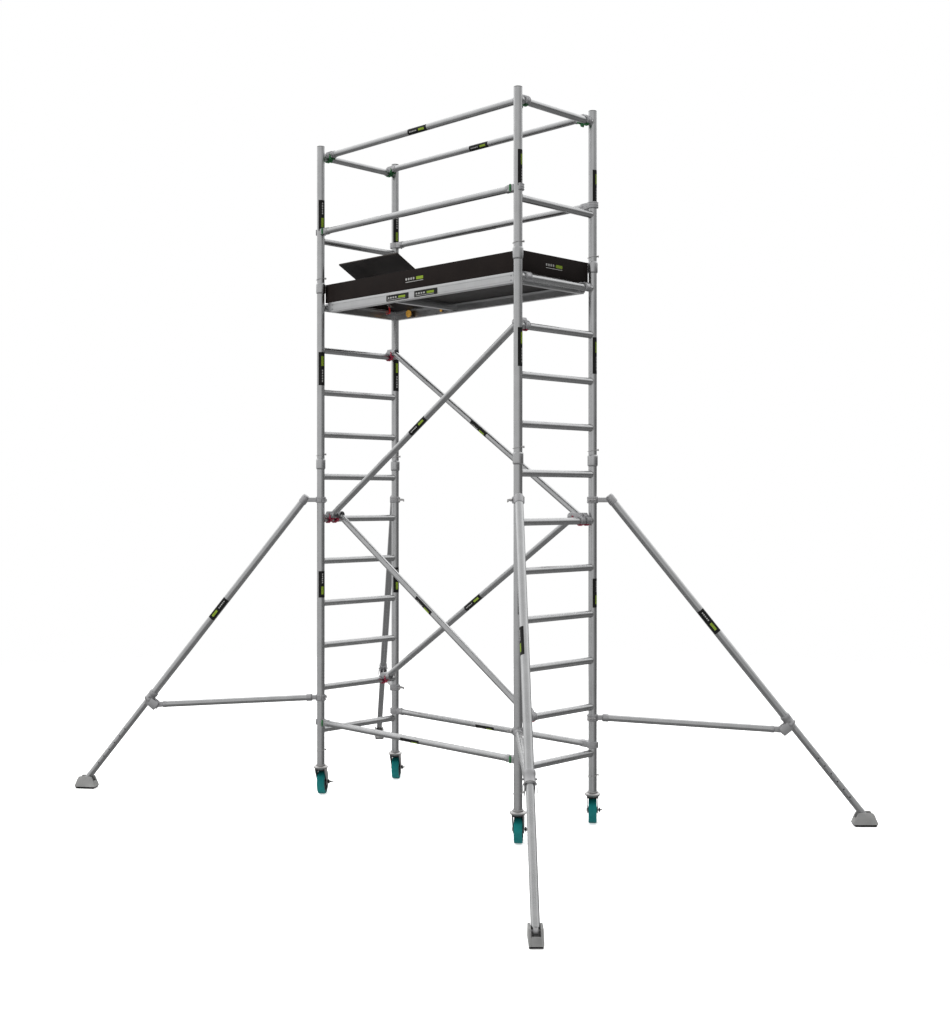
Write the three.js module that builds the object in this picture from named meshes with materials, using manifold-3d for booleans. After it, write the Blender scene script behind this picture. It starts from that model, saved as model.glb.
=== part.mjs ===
// Mobile tower scaffold: two ladder-framed ends on swivel castors, joined by hook-on braces,
// with a hatch platform, guardrails, toe boards and four telescopic stabilizers.
// Millimetres, +Z up. X runs along the tower, Y across it, the floor is z = 0, and the origin is
// the middle of the whole footprint, stabilizers included.
import * as THREE from 'three';
import { mergeVertices } from 'three/addons/utils/BufferGeometryUtils.js';
import Module from 'manifold-3d';

const wasm = await Module();
wasm.setup();

// ---------------------------------------------------------------- driving dimensions
const GAP = 0.3;                      // clearance between solids that touch
const LENGTH = 1790;                  // between upright axes, along X
const WIDTH = 660;                    // between upright axes, along Y
const UPRIGHT = { r: 25.4, wall: 2, sides: 12, boreSides: 6 };
const RUNG = { r: 21, wall: 1.8, sides: 8, boreSides: 8 };
const BRACE = { r: 20, wall: 1.8, sides: 8 };
const RUNG_PITCH = 280;
const FIRST_RUNG = 437;
const LOWER = { low: 207, high: 2165, rungs: [1, 2, 3, 4, 5, 6, 7] };
const UPPER = { low: 2165, high: 3330, rungs: [8, 9, 10, 11] };
const GUARD = { low: 3330, high: 4306, midRail: 3682, topRail: 4240 };
const SOCKET = { r: 31, height: 70, spigotR: 23, spigotBoreR: 20.8, spigotLength: 110 };
const CLAW = { wall: 9, width: 38, block: 46, seat: 16, sweep: 215, facets: 7 };
const HORIZONTAL_BRACE_Z = 487;
const MID_GUARDRAIL_Z = 3739;
const TOP_GUARDRAIL = { y: 270, rise: 17 };
const DIAGONAL_RISE = 28;             // brace axis above the rung axis, at the claw
const DIAGONAL_OUTER_Y = 270;
const DIAGONAL_INNER_Y = 215;

const PLATFORM = { halfX: 852, halfY: 300, low: 3207, top: 3271, web: 4, flange: 30, lip: 12 };
const DECK = 10;                      // thickness of deck panel and trapdoor
const HATCH_X = -255;                 // where the trapdoor ends and the fixed deck starts
const HINGE = { y: 270, z: 3272, r: 5, pinR: 3 };
const TRAPDOOR_OPEN = 28.5;           // degrees
const LATCH = { x: -806, y: 201, drop: 10, pinR: 3, ringR: 8, arm: 44, thick: 7 };
const HOOK = { y: 262, width: 48, wall: 9, sweep: 210, facets: 8 };
const TOE_BOARD = { height: 120, thick: 12, halfX: 884 };

const KINGPIN = 9;                    // radius of the pin each castor fork swivels on
const CASTOR = { trail: 60, azimuth: 130, wheelR: 80, tread: 50, axleR: 8, axleZ: 80 };
const BRAKE = { near: 36, pinR: 6, armLength: 84, thick: 8, pedal: 32, droop: 12 };
const STABILIZER = {
  slope: 1.25, topT: 100, topZ: 1981, clampZ: 1963, armClampZ: 650, armEnd: { t: 1150, z: 578 },
  collarT: 1190, footT: 1637, outerR: 24, innerR: 21, overlap: 300,
};
const CLAMP = { height: 44, lug: 26, facets: 10 };
const FOOT = { length: 150, top: 92, height: 86, width: 70, slot: 28, pinR: 7 };
const CORNERS = [
  { name: 'front_right', x: 1, y: -1, azimuth: -44.3 },
  { name: 'back_right', x: 1, y: 1, azimuth: 44.3 },
  { name: 'front_left', x: -1, y: -1, azimuth: -143 },
  { name: 'back_left', x: -1, y: 1, azimuth: 143 },
];

const rad = THREE.MathUtils.degToRad;
// The radius of a faceted hole that clears a round bar of radius r by GAP at the middle of each facet.
const clearing = (r, facetAngle) => (r + GAP) / Math.cos(facetAngle / 2);
const holeFor = (r, sides) => clearing(r, 2 * Math.PI / sides);
const rungZ = (n) => FIRST_RUNG + RUNG_PITCH * (n - 1);

// ---------------------------------------------------------------- materials
const material = (color, roughness, metalness) => new THREE.MeshStandardMaterial({ color, roughness, metalness });
const ALUMINIUM = material(0xb9bcbe, 0.42, 0.85);
const ZINC = material(0xc3c6c4, 0.35, 0.9);
const DECK_BOARD = material(0x24211f, 0.7, 0);
const TOE_BOARD_BLACK = material(0x1c1918, 0.6, 0);
const TEAL = material(0x1c7f79, 0.45, 0);
const BLACK_PLASTIC = material(0x1b1c1e, 0.5, 0);
const FOOT_GREY = material(0xb4b7b6, 0.55, 0.1);
const RED = material(0xc21f1c, 0.4, 0);

// ---------------------------------------------------------------- solids
function solid(geometry) {
  const bare = geometry.clone();
  bare.deleteAttribute('normal');
  bare.deleteAttribute('uv');
  const merged = mergeVertices(bare, 1e-4);
  const vertProperties = new Float32Array(merged.attributes.position.array);
  const triVerts = new Uint32Array(merged.index.array);
  const made = new wasm.Manifold(new wasm.Mesh({ numProp: 3, vertProperties, triVerts }));
  if (made.volume() > 0) return made;
  const turned = triVerts.map((v, i) => triVerts[i % 3 === 0 ? i : i % 3 === 1 ? i + 1 : i - 1]);
  return new wasm.Manifold(new wasm.Mesh({ numProp: 3, vertProperties, triVerts: turned }));
}

const join = (pieces) => pieces.reduce((sum, piece) => sum.add(piece));
const cut = (body, tools) => body.subtract(join(tools));

function box(x0, x1, y0, y1, z0, z1) {
  const geometry = new THREE.BoxGeometry(x1 - x0, y1 - y0, z1 - z0);
  geometry.translate((x0 + x1) / 2, (y0 + y1) / 2, (z0 + z1) / 2);
  return solid(geometry);
}

// A round bar from point a to point b.
function rod(a, b, r, sides = 16) {
  const from = new THREE.Vector3(...a);
  const to = new THREE.Vector3(...b);
  const along = to.clone().sub(from);
  const geometry = new THREE.CylinderGeometry(r, r, along.length(), sides);
  geometry.applyQuaternion(new THREE.Quaternion().setFromUnitVectors(new THREE.Vector3(0, 1, 0), along.normalize()));
  geometry.translate(...from.add(to).multiplyScalar(0.5).toArray());
  return solid(geometry);
}

// A body of revolution about Z from a profile of [radius, z] points.
function turned(profile, sides) {
  const geometry = new THREE.LatheGeometry(profile.map(([r, z]) => new THREE.Vector2(r, z)), sides);
  geometry.rotateX(Math.PI / 2);
  return solid(geometry);
}

// A flat shape in the XY plane given thickness along Z, centred on z = 0.
function plate(shape, thick, curveSegments = 10) {
  const geometry = new THREE.ExtrudeGeometry(shape, { depth: thick, bevelEnabled: false, curveSegments });
  geometry.translate(0, 0, -thick / 2);
  return solid(geometry);
}

const polygon = (points) => new THREE.Shape(points.map(([x, y]) => new THREE.Vector2(x, y)));

// Part of a ring in the XY plane, from angle start to end in degrees, thick along Z.
function arcPlate(inside, outside, start, end, thick, facets) {
  const shape = new THREE.Shape();
  shape.absarc(0, 0, outside, rad(start), rad(end), false);
  shape.absarc(0, 0, inside, rad(end), rad(start), true);
  shape.closePath();
  return plate(shape, thick, facets);
}

// Turns a solid drawn in the XY plane so that it stands in the XZ plane, thick along Y.
const standUp = (piece) => piece.rotate([90, 0, 0]);

function toMesh(name, manifold, look) {
  const { vertProperties, triVerts } = manifold.getMesh();
  const geometry = new THREE.BufferGeometry();
  geometry.setAttribute('position', new THREE.BufferAttribute(new Float32Array(vertProperties), 3));
  geometry.setIndex(new THREE.BufferAttribute(new Uint32Array(triVerts), 1));
  geometry.computeVertexNormals();
  const mesh = new THREE.Mesh(geometry, look);
  mesh.name = name;
  return mesh;
}

// ---------------------------------------------------------------- ladder frames
// Two uprights and cross tubes in the plane x = 0. Bores run through the uprights and into the cross
// tubes, so the frame is one welded hollow piece.
function ladder(low, high, crossHeights) {
  const sides = [-WIDTH / 2, WIDTH / 2];
  const outer = [];
  const inner = [];
  for (const y of sides) {
    outer.push(rod([0, y, low], [0, y, high], UPRIGHT.r, UPRIGHT.sides));
    inner.push(rod([0, y, low - 1], [0, y, high + 1], UPRIGHT.r - UPRIGHT.wall, UPRIGHT.boreSides));
  }
  for (const z of crossHeights) {
    outer.push(rod([0, sides[0], z], [0, sides[1], z], RUNG.r, RUNG.sides));
    inner.push(rod([0, sides[0], z], [0, sides[1], z], RUNG.r - RUNG.wall, RUNG.boreSides));
  }
  return cut(join(outer), inner);
}

// The swaged socket at the foot of an upper frame and the spigot that reaches into the frame below.
function socket(z) {
  const { r, height, spigotR, spigotBoreR, spigotLength } = SOCKET;
  const bulge = turned([
    [0, z + GAP], [UPRIGHT.r, z + GAP], [r, z + 8], [r, z + height - 8], [UPRIGHT.r - 1, z + height], [0, z + height],
  ], UPRIGHT.sides);
  const spigot = rod([0, 0, z - spigotLength], [0, 0, z + height / 2], spigotR, UPRIGHT.boreSides);
  const bore = rod([0, 0, z - spigotLength - 1], [0, 0, z + height + 1], spigotBoreR, UPRIGHT.boreSides);
  return bulge.add(spigot).subtract(bore);
}

function stackedLadder(low, high, crossHeights) {
  const frame = ladder(low + GAP, high, crossHeights);
  const sockets = [-1, 1].map((side) => socket(low).translate([0, side * WIDTH / 2, 0]));
  return join([frame, ...sockets]);
}

function guardFrame() {
  const frame = stackedLadder(GUARD.low, GUARD.high, [GUARD.midRail, GUARD.topRail]);
  const plugs = [-1, 1].map((side) => turned([
    [0, GUARD.high - 2], [UPRIGHT.r, GUARD.high - 2], [UPRIGHT.r, GUARD.high + 1],
    [UPRIGHT.r - 3, GUARD.high + 4], [0, GUARD.high + 4],
  ], UPRIGHT.sides).translate([0, side * WIDTH / 2, 0]));
  return join([frame, ...plugs]);
}

// ---------------------------------------------------------------- braces
// A claw in the XY plane, gripping a tube of radius r at the origin. The brace leaves towards +X,
// its axis at y = rise, and the jaw passes over the +Y side and round the back.
function claw(r, rise) {
  const inside = clearing(r, rad(CLAW.sweep) / CLAW.facets);
  const outside = inside + CLAW.wall;
  const top = rise + BRACE.r + 1;
  const bottom = rise - BRACE.r - 1;
  const shape = new THREE.Shape();
  shape.moveTo(clawReach(r), bottom);
  shape.lineTo(clawReach(r), top);
  if (top > outside) shape.lineTo(inside / 3, top);
  const jawStart = top > outside ? rad(100) : Math.asin(top / outside);
  shape.absarc(0, 0, outside, jawStart, rad(CLAW.sweep), false);
  shape.absarc(0, 0, inside, rad(CLAW.sweep), Math.asin(bottom / inside), true);
  shape.closePath();
  return plate(shape, CLAW.width, CLAW.facets);
}

// How far a claw's block reaches from the axis of the tube it grips.
const clawReach = (r) => r + CLAW.block;

// A round bar between two points of a plane y = constant, with one of its facets square to Y.
function levelledRod(a, b, r) {
  const along = new THREE.Vector3(b[0] - a[0], 0, b[2] - a[2]);
  const geometry = new THREE.CylinderGeometry(r, r, along.length(), BRACE.sides);
  geometry.rotateY(Math.PI / BRACE.sides);
  geometry.rotateZ(-Math.PI / 2);
  geometry.rotateY(-Math.atan2(along.z, along.x));
  geometry.translate((a[0] + b[0]) / 2, a[1], (a[2] + b[2]) / 2);
  return solid(geometry);
}

// A hollow brace tube between two points, open at a small drain hole so that it is not a sealed can.
function braceTube(a, b, crosswise) {
  const tube = levelledRod(a, b, BRACE.r);
  const bore = levelledRod(a, b, BRACE.r - BRACE.wall);
  const middle = a.map((value, i) => (value + b[i]) / 2);
  const drain = rod(middle, middle.map((value, i) => value + crosswise[i] * 2 * BRACE.r), 3, 4);
  return { tube, openings: bore.add(drain) };
}

// A level brace between the two ends at height z. Its claws grip the uprights from the tower's inner side.
function levelBrace(side, z) {
  const end = LENGTH / 2 - clawReach(UPRIGHT.r) + 2;
  const { tube, openings } = braceTube([-end, 0, z], [end, 0, z], [0, 0, -1]);
  const right = claw(UPRIGHT.r, 0).rotate([0, 0, 180]).mirror([0, 1, 0]).translate([LENGTH / 2, 0, z]);
  const left = claw(UPRIGHT.r, 0).translate([-LENGTH / 2, 0, z]);
  const brace = join([tube, left, right]).subtract(openings);
  return side < 0 ? brace : brace.mirror([0, 1, 0]);
}

// A brace whose claws hook over cross tubes of the two ends, in the plane y = 0.
function hookedBrace(leftZ, rightZ, rise) {
  const reach = LENGTH / 2 - clawReach(RUNG.r) + CLAW.seat;
  const { tube, openings } = braceTube([-reach, 0, leftZ + rise], [reach, 0, rightZ + rise], [0, 1, 0]);
  const left = standUp(claw(RUNG.r, rise)).translate([-LENGTH / 2, 0, leftZ]);
  const right = standUp(claw(RUNG.r, rise)).mirror([1, 0, 0]).translate([LENGTH / 2, 0, rightZ]);
  return join([tube, left, right]).subtract(openings);
}

// ---------------------------------------------------------------- platform
// A level rectangular ring: its outer edges lie inside the platform's by outset, and it is width wide.
function ring(outset, width, z0, z1) {
  const x = PLATFORM.halfX - outset;
  const y = PLATFORM.halfY - outset;
  return box(-x, x, -y, y, z0, z1).subtract(box(width - x, x - width, width - y, y - width, z0 - 1, z1 + 1));
}

const LEDGE_Z = PLATFORM.top - DECK - GAP;   // what the deck panel and the closed trapdoor rest on

// A rim of channel section, open inwards, with a ledge for the panels and a raised lip round it.
function platformFrame() {
  const { halfX, halfY, low, top, web, flange, lip } = PLATFORM;
  const channel = ring(0, flange, low, LEDGE_Z).subtract(ring(web, flange, low + web, LEDGE_Z - web));
  const raised = ring(0, lip, LEDGE_Z - 1, top);
  const cross = box(HATCH_X - 16, HATCH_X + 16, -halfY + 2, halfY - 2, low + 9, LEDGE_Z)
    .subtract(box(HATCH_X - 13, HATCH_X + 13, -halfY + 34, halfY - 34, low, LEDGE_Z - 3));
  const hingeRail = box(-halfX + 2, HATCH_X - 2, HINGE.y + 6, halfY - lip + 1, LEDGE_Z - 3, top);
  return join([channel, raised, cross, hingeRail, ...hingeLugs(), ...platformHooks()]);
}

const KNUCKLES = [-700, -380];        // where the two hinge knuckles sit along X
const KNUCKLE = 60;

// Lugs on the frame that hold the trapdoor's hinge pins.
function hingeLugs() {
  const lugs = [];
  for (const x of KNUCKLES) {
    for (const side of [-1, 1]) {
      const from = x + side * (KNUCKLE / 2 + GAP);
      const to = from + side * 14;
      const low = Math.min(from, to);
      const high = Math.max(from, to);
      const barrel = rod([low, HINGE.y, HINGE.z], [high, HINGE.y, HINGE.z], HINGE.r, 8);
      const foot = box(low, high, HINGE.y, HINGE.y + 8, HINGE.z - HINGE.r, HINGE.z);
      const pinHole = rod([low - 1, HINGE.y, HINGE.z], [high + 1, HINGE.y, HINGE.z], holeFor(HINGE.pinR, 8), 8);
      lugs.push(join([barrel, foot]).subtract(pinHole));
    }
  }
  return lugs;
}

// Four cast hooks that hang the platform on the top rungs.
function platformHooks() {
  const z = rungZ(11);
  const inside = clearing(RUNG.r, rad(HOOK.sweep) / HOOK.facets);
  const outside = inside + HOOK.wall;
  const jaw = arcPlate(inside, outside, 180 - HOOK.sweep, 180, HOOK.width, HOOK.facets);
  const reach = LENGTH / 2 - PLATFORM.halfX + 2;
  const body = box(-reach, -inside + 6, -26, outside - 2, -HOOK.width / 2, HOOK.width / 2)
    .subtract(rod([0, 0, -HOOK.width], [0, 0, HOOK.width], inside, 16));
  const hook = standUp(join([jaw, body]));
  const hooks = [];
  for (const y of [-HOOK.y, HOOK.y]) {
    const right = hook.translate([LENGTH / 2, y, z]);
    hooks.push(right, right.mirror([1, 0, 0]));
  }
  return hooks;
}

function platformDeck() {
  const { halfX, halfY, top, lip } = PLATFORM;
  const edge = halfY - lip - GAP;
  return box(HATCH_X + 1.5, halfX - lip - GAP, -edge, edge, top - DECK, top);
}

// The trapdoor in its closed place, with its knuckles and pin ends.
function trapdoor() {
  const { halfX, halfY, top, lip } = PLATFORM;
  const panel = box(-halfX + lip + 2, HATCH_X - 1.5, -halfY + lip + 1, HINGE.y - HINGE.r - 1, top - DECK, top);
  const parts = [panel];
  for (const x of KNUCKLES) {
    const end = KNUCKLE / 2;
    parts.push(rod([x - end, HINGE.y, HINGE.z], [x + end, HINGE.y, HINGE.z], HINGE.r, 8));
    parts.push(rod([x - end - 12, HINGE.y, HINGE.z], [x + end + 12, HINGE.y, HINGE.z], HINGE.pinR, 8));
    parts.push(box(x - end, x + end, HINGE.y - HINGE.r - 4, HINGE.y, HINGE.z - 5, HINGE.z - 1));
  }
  return join([...parts, ...latchEars()]);
}

// Two ears and a pin under the trapdoor that carry the latch.
function latchEars() {
  const { x, y, drop, pinR, thick } = LATCH;
  const underside = PLATFORM.top - DECK;
  const pinZ = underside - drop;
  const inner = thick / 2 + 1;
  const ears = [-1, 1].map((side) => {
    const from = x + side * inner;
    const to = from + side * 4;
    return box(Math.min(from, to), Math.max(from, to), y - 7, y + 7, pinZ - 6, underside + 1);
  });
  const pin = rod([x - inner - 5, y, pinZ], [x + inner + 5, y, pinZ], pinR, 8);
  return [...ears, pin];
}

// The latch lever, drawn about its own pin, hanging straight down.
function trapdoorLatch() {
  const { pinR, ringR, arm, thick } = LATCH;
  const ringPart = rod([-thick / 2, 0, 0], [thick / 2, 0, 0], ringR, 10);
  const lever = box(-thick / 2, thick / 2, -5, 5, -arm, 0);
  const grip = box(-thick / 2, thick / 2, -20, 5, -arm, -arm + 10);
  const hole = rod([-thick, 0, 0], [thick, 0, 0], holeFor(pinR, 8), 8);
  return join([ringPart, lever, grip]).subtract(hole);
}

// ---------------------------------------------------------------- castors
// Local frame: origin under the swivel axis on the floor, +X the way the wheel trails, Y the axle.
function castorStem() {
  const seat = LOWER.low - GAP;
  return turned([
    [0, 172], [15, 172], [15, 177.5], [KINGPIN, 177.5], [KINGPIN, 199.5], [32, 199.5], [32, seat],
    [20, seat], [20, 326], [16.5, 326], [16.5, 214], [0, 214],
  ], 8);
}

function castorFork() {
  const hole = holeFor(KINGPIN, 12);
  const crown = turned([
    [hole, 178.5], [40, 178.5], [49, 190], [34, 199], [hole, 199], [hole, 178.5],
  ], 12);
  const { trail, axleZ, axleR } = CASTOR;
  const cheek = new THREE.Shape();
  cheek.moveTo(-34, 180);
  cheek.lineTo(trail - 24, axleZ);
  cheek.absarc(trail, axleZ, 24, Math.PI, 2 * Math.PI, false);
  cheek.lineTo(42, 180);
  cheek.closePath();
  const plateAt = (y) => standUp(plate(cheek, 4, 4)).translate([0, y, 0]);
  const axle = rod([trail, -34, axleZ], [trail, 42, axleZ], axleR, 8);
  const head = rod([trail, 34, axleZ], [trail, 44, axleZ], 13, 6);
  const leverPin = rod([trail, -52, axleZ], [trail, -32, axleZ], BRAKE.pinR, 8);
  return join([crown, plateAt(-33), plateAt(33), axle, head, leverPin]);
}

function castorWheel() {
  const { wheelR, tread, axleR } = CASTOR;
  const half = tread / 2;
  const bore = holeFor(axleR, 20);
  return turned([
    [bore, -30], [22, -30], [wheelR - 3, -half], [wheelR, -half + 5],
    [wheelR, half - 5], [wheelR - 3, half], [22, 30], [bore, 30], [bore, -30],
  ], 20).rotate([90, 0, 0]);
}

function brakeLever() {
  const { near, pinR, armLength, thick, pedal } = BRAKE;
  const ring = rod([0, -near - 10, 0], [0, -near, 0], 13, 8);
  const arm = box(0, armLength - 6, -near - 6, -near, -thick / 2, thick / 2);
  const tread = box(armLength - pedal, armLength, -near - pedal + 8, -near, -thick / 2, thick / 2);
  const hole = rod([0, -near - 30, 0], [0, -near + 6, 0], holeFor(pinR, 8), 8);
  return join([ring, arm, tread]).subtract(hole);
}

// ---------------------------------------------------------------- stabilizers
// Local frame: origin on the floor under the upright, +X the way the stabilizer points.
const LEG_DIRECTION = new THREE.Vector2(1, -STABILIZER.slope).normalize();
const legPoint = (t) => [t, 0, STABILIZER.topZ - STABILIZER.slope * (t - STABILIZER.topT)];

// A point on the leg's axis, at a distance back up the leg from the foot's pin.
function legAbovePin(distance) {
  const [x, , z] = footPin();
  return [x - LEG_DIRECTION.x * distance, 0, z - LEG_DIRECTION.y * distance];
}

function footPin() {
  return legPoint(STABILIZER.footT);
}

// A tube clamp round the upright at height z, with a lug towards +X.
function uprightClamp(z, lugEnd) {
  const outside = UPRIGHT.r + 10;
  const corner = Math.asin(CLAMP.lug / 2 / outside);
  const shape = new THREE.Shape();
  shape.absarc(0, 0, outside, corner, 2 * Math.PI - corner, false);
  shape.lineTo(lugEnd, -CLAMP.lug / 2);
  shape.lineTo(lugEnd, CLAMP.lug / 2);
  shape.closePath();
  const grip = new THREE.Path();
  grip.absarc(0, 0, holeFor(UPRIGHT.r, CLAMP.facets), 0, 2 * Math.PI, true);
  shape.holes.push(grip);
  return plate(shape, CLAMP.height, CLAMP.facets).translate([0, 0, z]);
}

function outerLeg() {
  const { topT, collarT, outerR, innerR, clampZ } = STABILIZER;
  const top = legPoint(topT - 4);
  const bottom = legPoint(collarT);
  const tube = rod(top, bottom, outerR, 10);
  const collar = rod(legPoint(collarT - 36), legPoint(collarT + 8), outerR + 6, 10);
  const clamp = uprightClamp(clampZ, topT);
  const bore = rod(legPoint(topT + 22), legPoint(collarT + 20), holeFor(innerR, 10), 10);
  const lug = armLug();
  return join([tube, collar, clamp, lug]).subtract(bore);
}

// The plate under the collar that the arm is bolted to.
function armLug() {
  const { armEnd, collarT } = STABILIZER;
  const [x1, , z1] = legPoint(collarT - 30);
  const [x2, , z2] = legPoint(collarT + 4);
  const shape = new THREE.Shape();
  shape.moveTo(armEnd.t - 8, armEnd.z - 16);
  shape.lineTo(x2, z2);
  shape.lineTo(x1, z1);
  shape.lineTo(armEnd.t - 14, armEnd.z + 13);
  shape.absarc(armEnd.t, armEnd.z, 19, rad(135), rad(245), false);
  shape.closePath();
  const hole = rod([armEnd.t, -20, armEnd.z], [armEnd.t, 20, armEnd.z], holeFor(6, 8), 8);
  return standUp(plate(shape, 9, 4)).subtract(hole);
}

function stabilizerArm() {
  const { armClampZ, armEnd } = STABILIZER;
  const start = [62, 0, armClampZ];
  const along = new THREE.Vector3(armEnd.t - start[0], 0, armEnd.z - start[2]).normalize();
  const back = (distance) => [armEnd.t - along.x * distance, 0, armEnd.z - along.z * distance];
  const tubeEnd = back(64);
  const bore = rod(start, tubeEnd, BRACE.r - BRACE.wall, BRACE.sides);
  const tube = rod(start, tubeEnd, BRACE.r, BRACE.sides).subtract(bore);
  const [plugX, , plugZ] = tubeEnd;
  const plug = box(plugX - 4, plugX + 20, -12, 12, plugZ - 16, plugZ + 14);
  const cheek = box(plugX, armEnd.t + 18, 5, 12, armEnd.z - 16, armEnd.z + 16);
  const bolt = rod([armEnd.t, -16, armEnd.z], [armEnd.t, 16, armEnd.z], 6, 8);
  const clamp = uprightClamp(armClampZ, 66);
  return join([tube, plug, clamp, cheek, cheek.mirror([0, 1, 0]), bolt]);
}

function innerLeg() {
  const { innerR, overlap, collarT, footT } = STABILIZER;
  const visible = (footT - collarT) / LEG_DIRECTION.x;
  const tube = rod(legAbovePin(visible + overlap), legAbovePin(80), innerR, 10);
  const bore = rod(legAbovePin(visible + overlap + 10), legAbovePin(88), innerR - 2, 10);
  const [x, , z] = footPin();
  const tongue = join([
    rod([x, -13, z], [x, 13, z], 19, 10),
    rod(legAbovePin(84), legAbovePin(4), 18, 8).intersect(box(x - 200, x + 200, -13, 13, 0, 400)),
  ]);
  const pinHole = rod([x, -20, z], [x, 20, z], holeFor(FOOT.pinR, 8), 8);
  return join([tube.subtract(bore), tongue]).subtract(pinHole);
}

function stabilizerFoot() {
  const [x, , z] = footPin();
  const { length, top, height, width, slot, pinR } = FOOT;
  const outline = polygon([
    [-length / 2, 0], [length / 2, 0], [length / 2, 14], [top / 2 + 4, height - 8], [top / 2 - 6, height],
    [-top / 2 + 6, height], [-top / 2 - 4, height - 8], [-length / 2, 14],
  ]);
  const body = standUp(plate(outline, width)).translate([x, 0, 0]);
  const pocket = box(x - length, x + length, -slot / 2, slot / 2, z - 24, height + 10);
  const pin = rod([x, -width / 2 + 4, z], [x, width / 2 - 4, z], pinR, 8);
  return join([body.subtract(pocket), pin]);
}

// ---------------------------------------------------------------- assembly
// How far a stabilizer's foot reaches along X from the middle of the tower.
function footReach(azimuth) {
  const angle = rad(azimuth);
  const radial = STABILIZER.footT + FOOT.length / 2;
  return LENGTH / 2 + radial * Math.abs(Math.cos(angle)) + FOOT.width / 2 * Math.abs(Math.sin(angle));
}

// The left and right stabilizers splay by different angles, so the tower stands off the middle of its footprint.
const [rightCorner, , leftCorner] = CORNERS;
const tower = new THREE.Group();
tower.position.x = (footReach(leftCorner.azimuth) - footReach(rightCorner.azimuth)) / 2;

function add(parent, name, manifold, look, place = [0, 0, 0]) {
  const mesh = toMesh(name, manifold, look);
  mesh.position.set(...place);
  parent.add(mesh);
  return mesh;
}

for (const [side, x] of [['left', -LENGTH / 2], ['right', LENGTH / 2]]) {
  const end = new THREE.Group();
  end.position.x = x;
  add(end, `lower_frame_${side}`, ladder(LOWER.low, LOWER.high, LOWER.rungs.map(rungZ)), ALUMINIUM);
  add(end, `upper_frame_${side}`, stackedLadder(UPPER.low, UPPER.high, UPPER.rungs.map(rungZ)), ALUMINIUM);
  add(end, `guard_frame_${side}`, guardFrame(), ALUMINIUM);
  tower.add(end);
}

for (const [face, side] of [['front', -1], ['back', 1]]) {
  const plane = side * WIDTH / 2;
  add(tower, `horizontal_brace_${face}`, levelBrace(side, 0), ALUMINIUM, [0, plane, HORIZONTAL_BRACE_Z]);
  add(tower, `mid_guardrail_${face}`, levelBrace(side, 0), ALUMINIUM, [0, plane, MID_GUARDRAIL_Z]);
  const topRail = hookedBrace(GUARD.topRail, GUARD.topRail, TOP_GUARDRAIL.rise);
  add(tower, `top_guardrail_${face}`, topRail, ALUMINIUM, [0, side * TOP_GUARDRAIL.y, 0]);
}

const diagonals = [
  ['diagonal_brace_front_upper', 6, 10, -DIAGONAL_OUTER_Y],
  ['diagonal_brace_front_lower', 6, 2, -DIAGONAL_INNER_Y],
  ['diagonal_brace_back_upper', 10, 6, DIAGONAL_OUTER_Y],
  ['diagonal_brace_back_lower', 2, 6, DIAGONAL_INNER_Y],
];
for (const [name, leftRung, rightRung, y] of diagonals) {
  add(tower, name, hookedBrace(rungZ(leftRung), rungZ(rightRung), DIAGONAL_RISE), ALUMINIUM, [0, y, 0]);
}

add(tower, 'platform_frame', platformFrame(), ALUMINIUM);
add(tower, 'platform_deck', platformDeck(), DECK_BOARD);

const hatch = new THREE.Group();
hatch.position.set(0, HINGE.y, HINGE.z);
hatch.rotation.x = -rad(TRAPDOOR_OPEN);
add(hatch, 'trapdoor', trapdoor(), DECK_BOARD, [0, -HINGE.y, -HINGE.z]);
const latchZ = PLATFORM.top - DECK - LATCH.drop;
const latch = add(hatch, 'trapdoor_latch', trapdoorLatch(), RED, [LATCH.x, LATCH.y - HINGE.y, latchZ - HINGE.z]);
latch.rotation.x = rad(TRAPDOOR_OPEN);
tower.add(hatch);

for (const [face, side] of [['front', -1], ['back', 1]]) {
  const z = PLATFORM.top + GAP;
  const outer = side * PLATFORM.halfY;
  const inner = side * (PLATFORM.halfY - TOE_BOARD.thick);
  const board = box(-TOE_BOARD.halfX, TOE_BOARD.halfX, Math.min(outer, inner), Math.max(outer, inner), 0, TOE_BOARD.height);
  add(tower, `toe_board_${face}`, board, TOE_BOARD_BLACK, [0, 0, z]);
}
for (const [face, side] of [['left', -1], ['right', 1]]) {
  const z = PLATFORM.top + GAP;
  const middle = side * (TOE_BOARD.halfX - TOE_BOARD.thick / 2);
  const half = TOE_BOARD.thick / 2 - GAP;
  const span = PLATFORM.halfY - TOE_BOARD.thick - GAP;
  const board = box(middle - half, middle + half, -span, span, 0, TOE_BOARD.height);
  add(tower, `toe_board_${face}`, board, TOE_BOARD_BLACK, [0, 0, z]);
}

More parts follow.
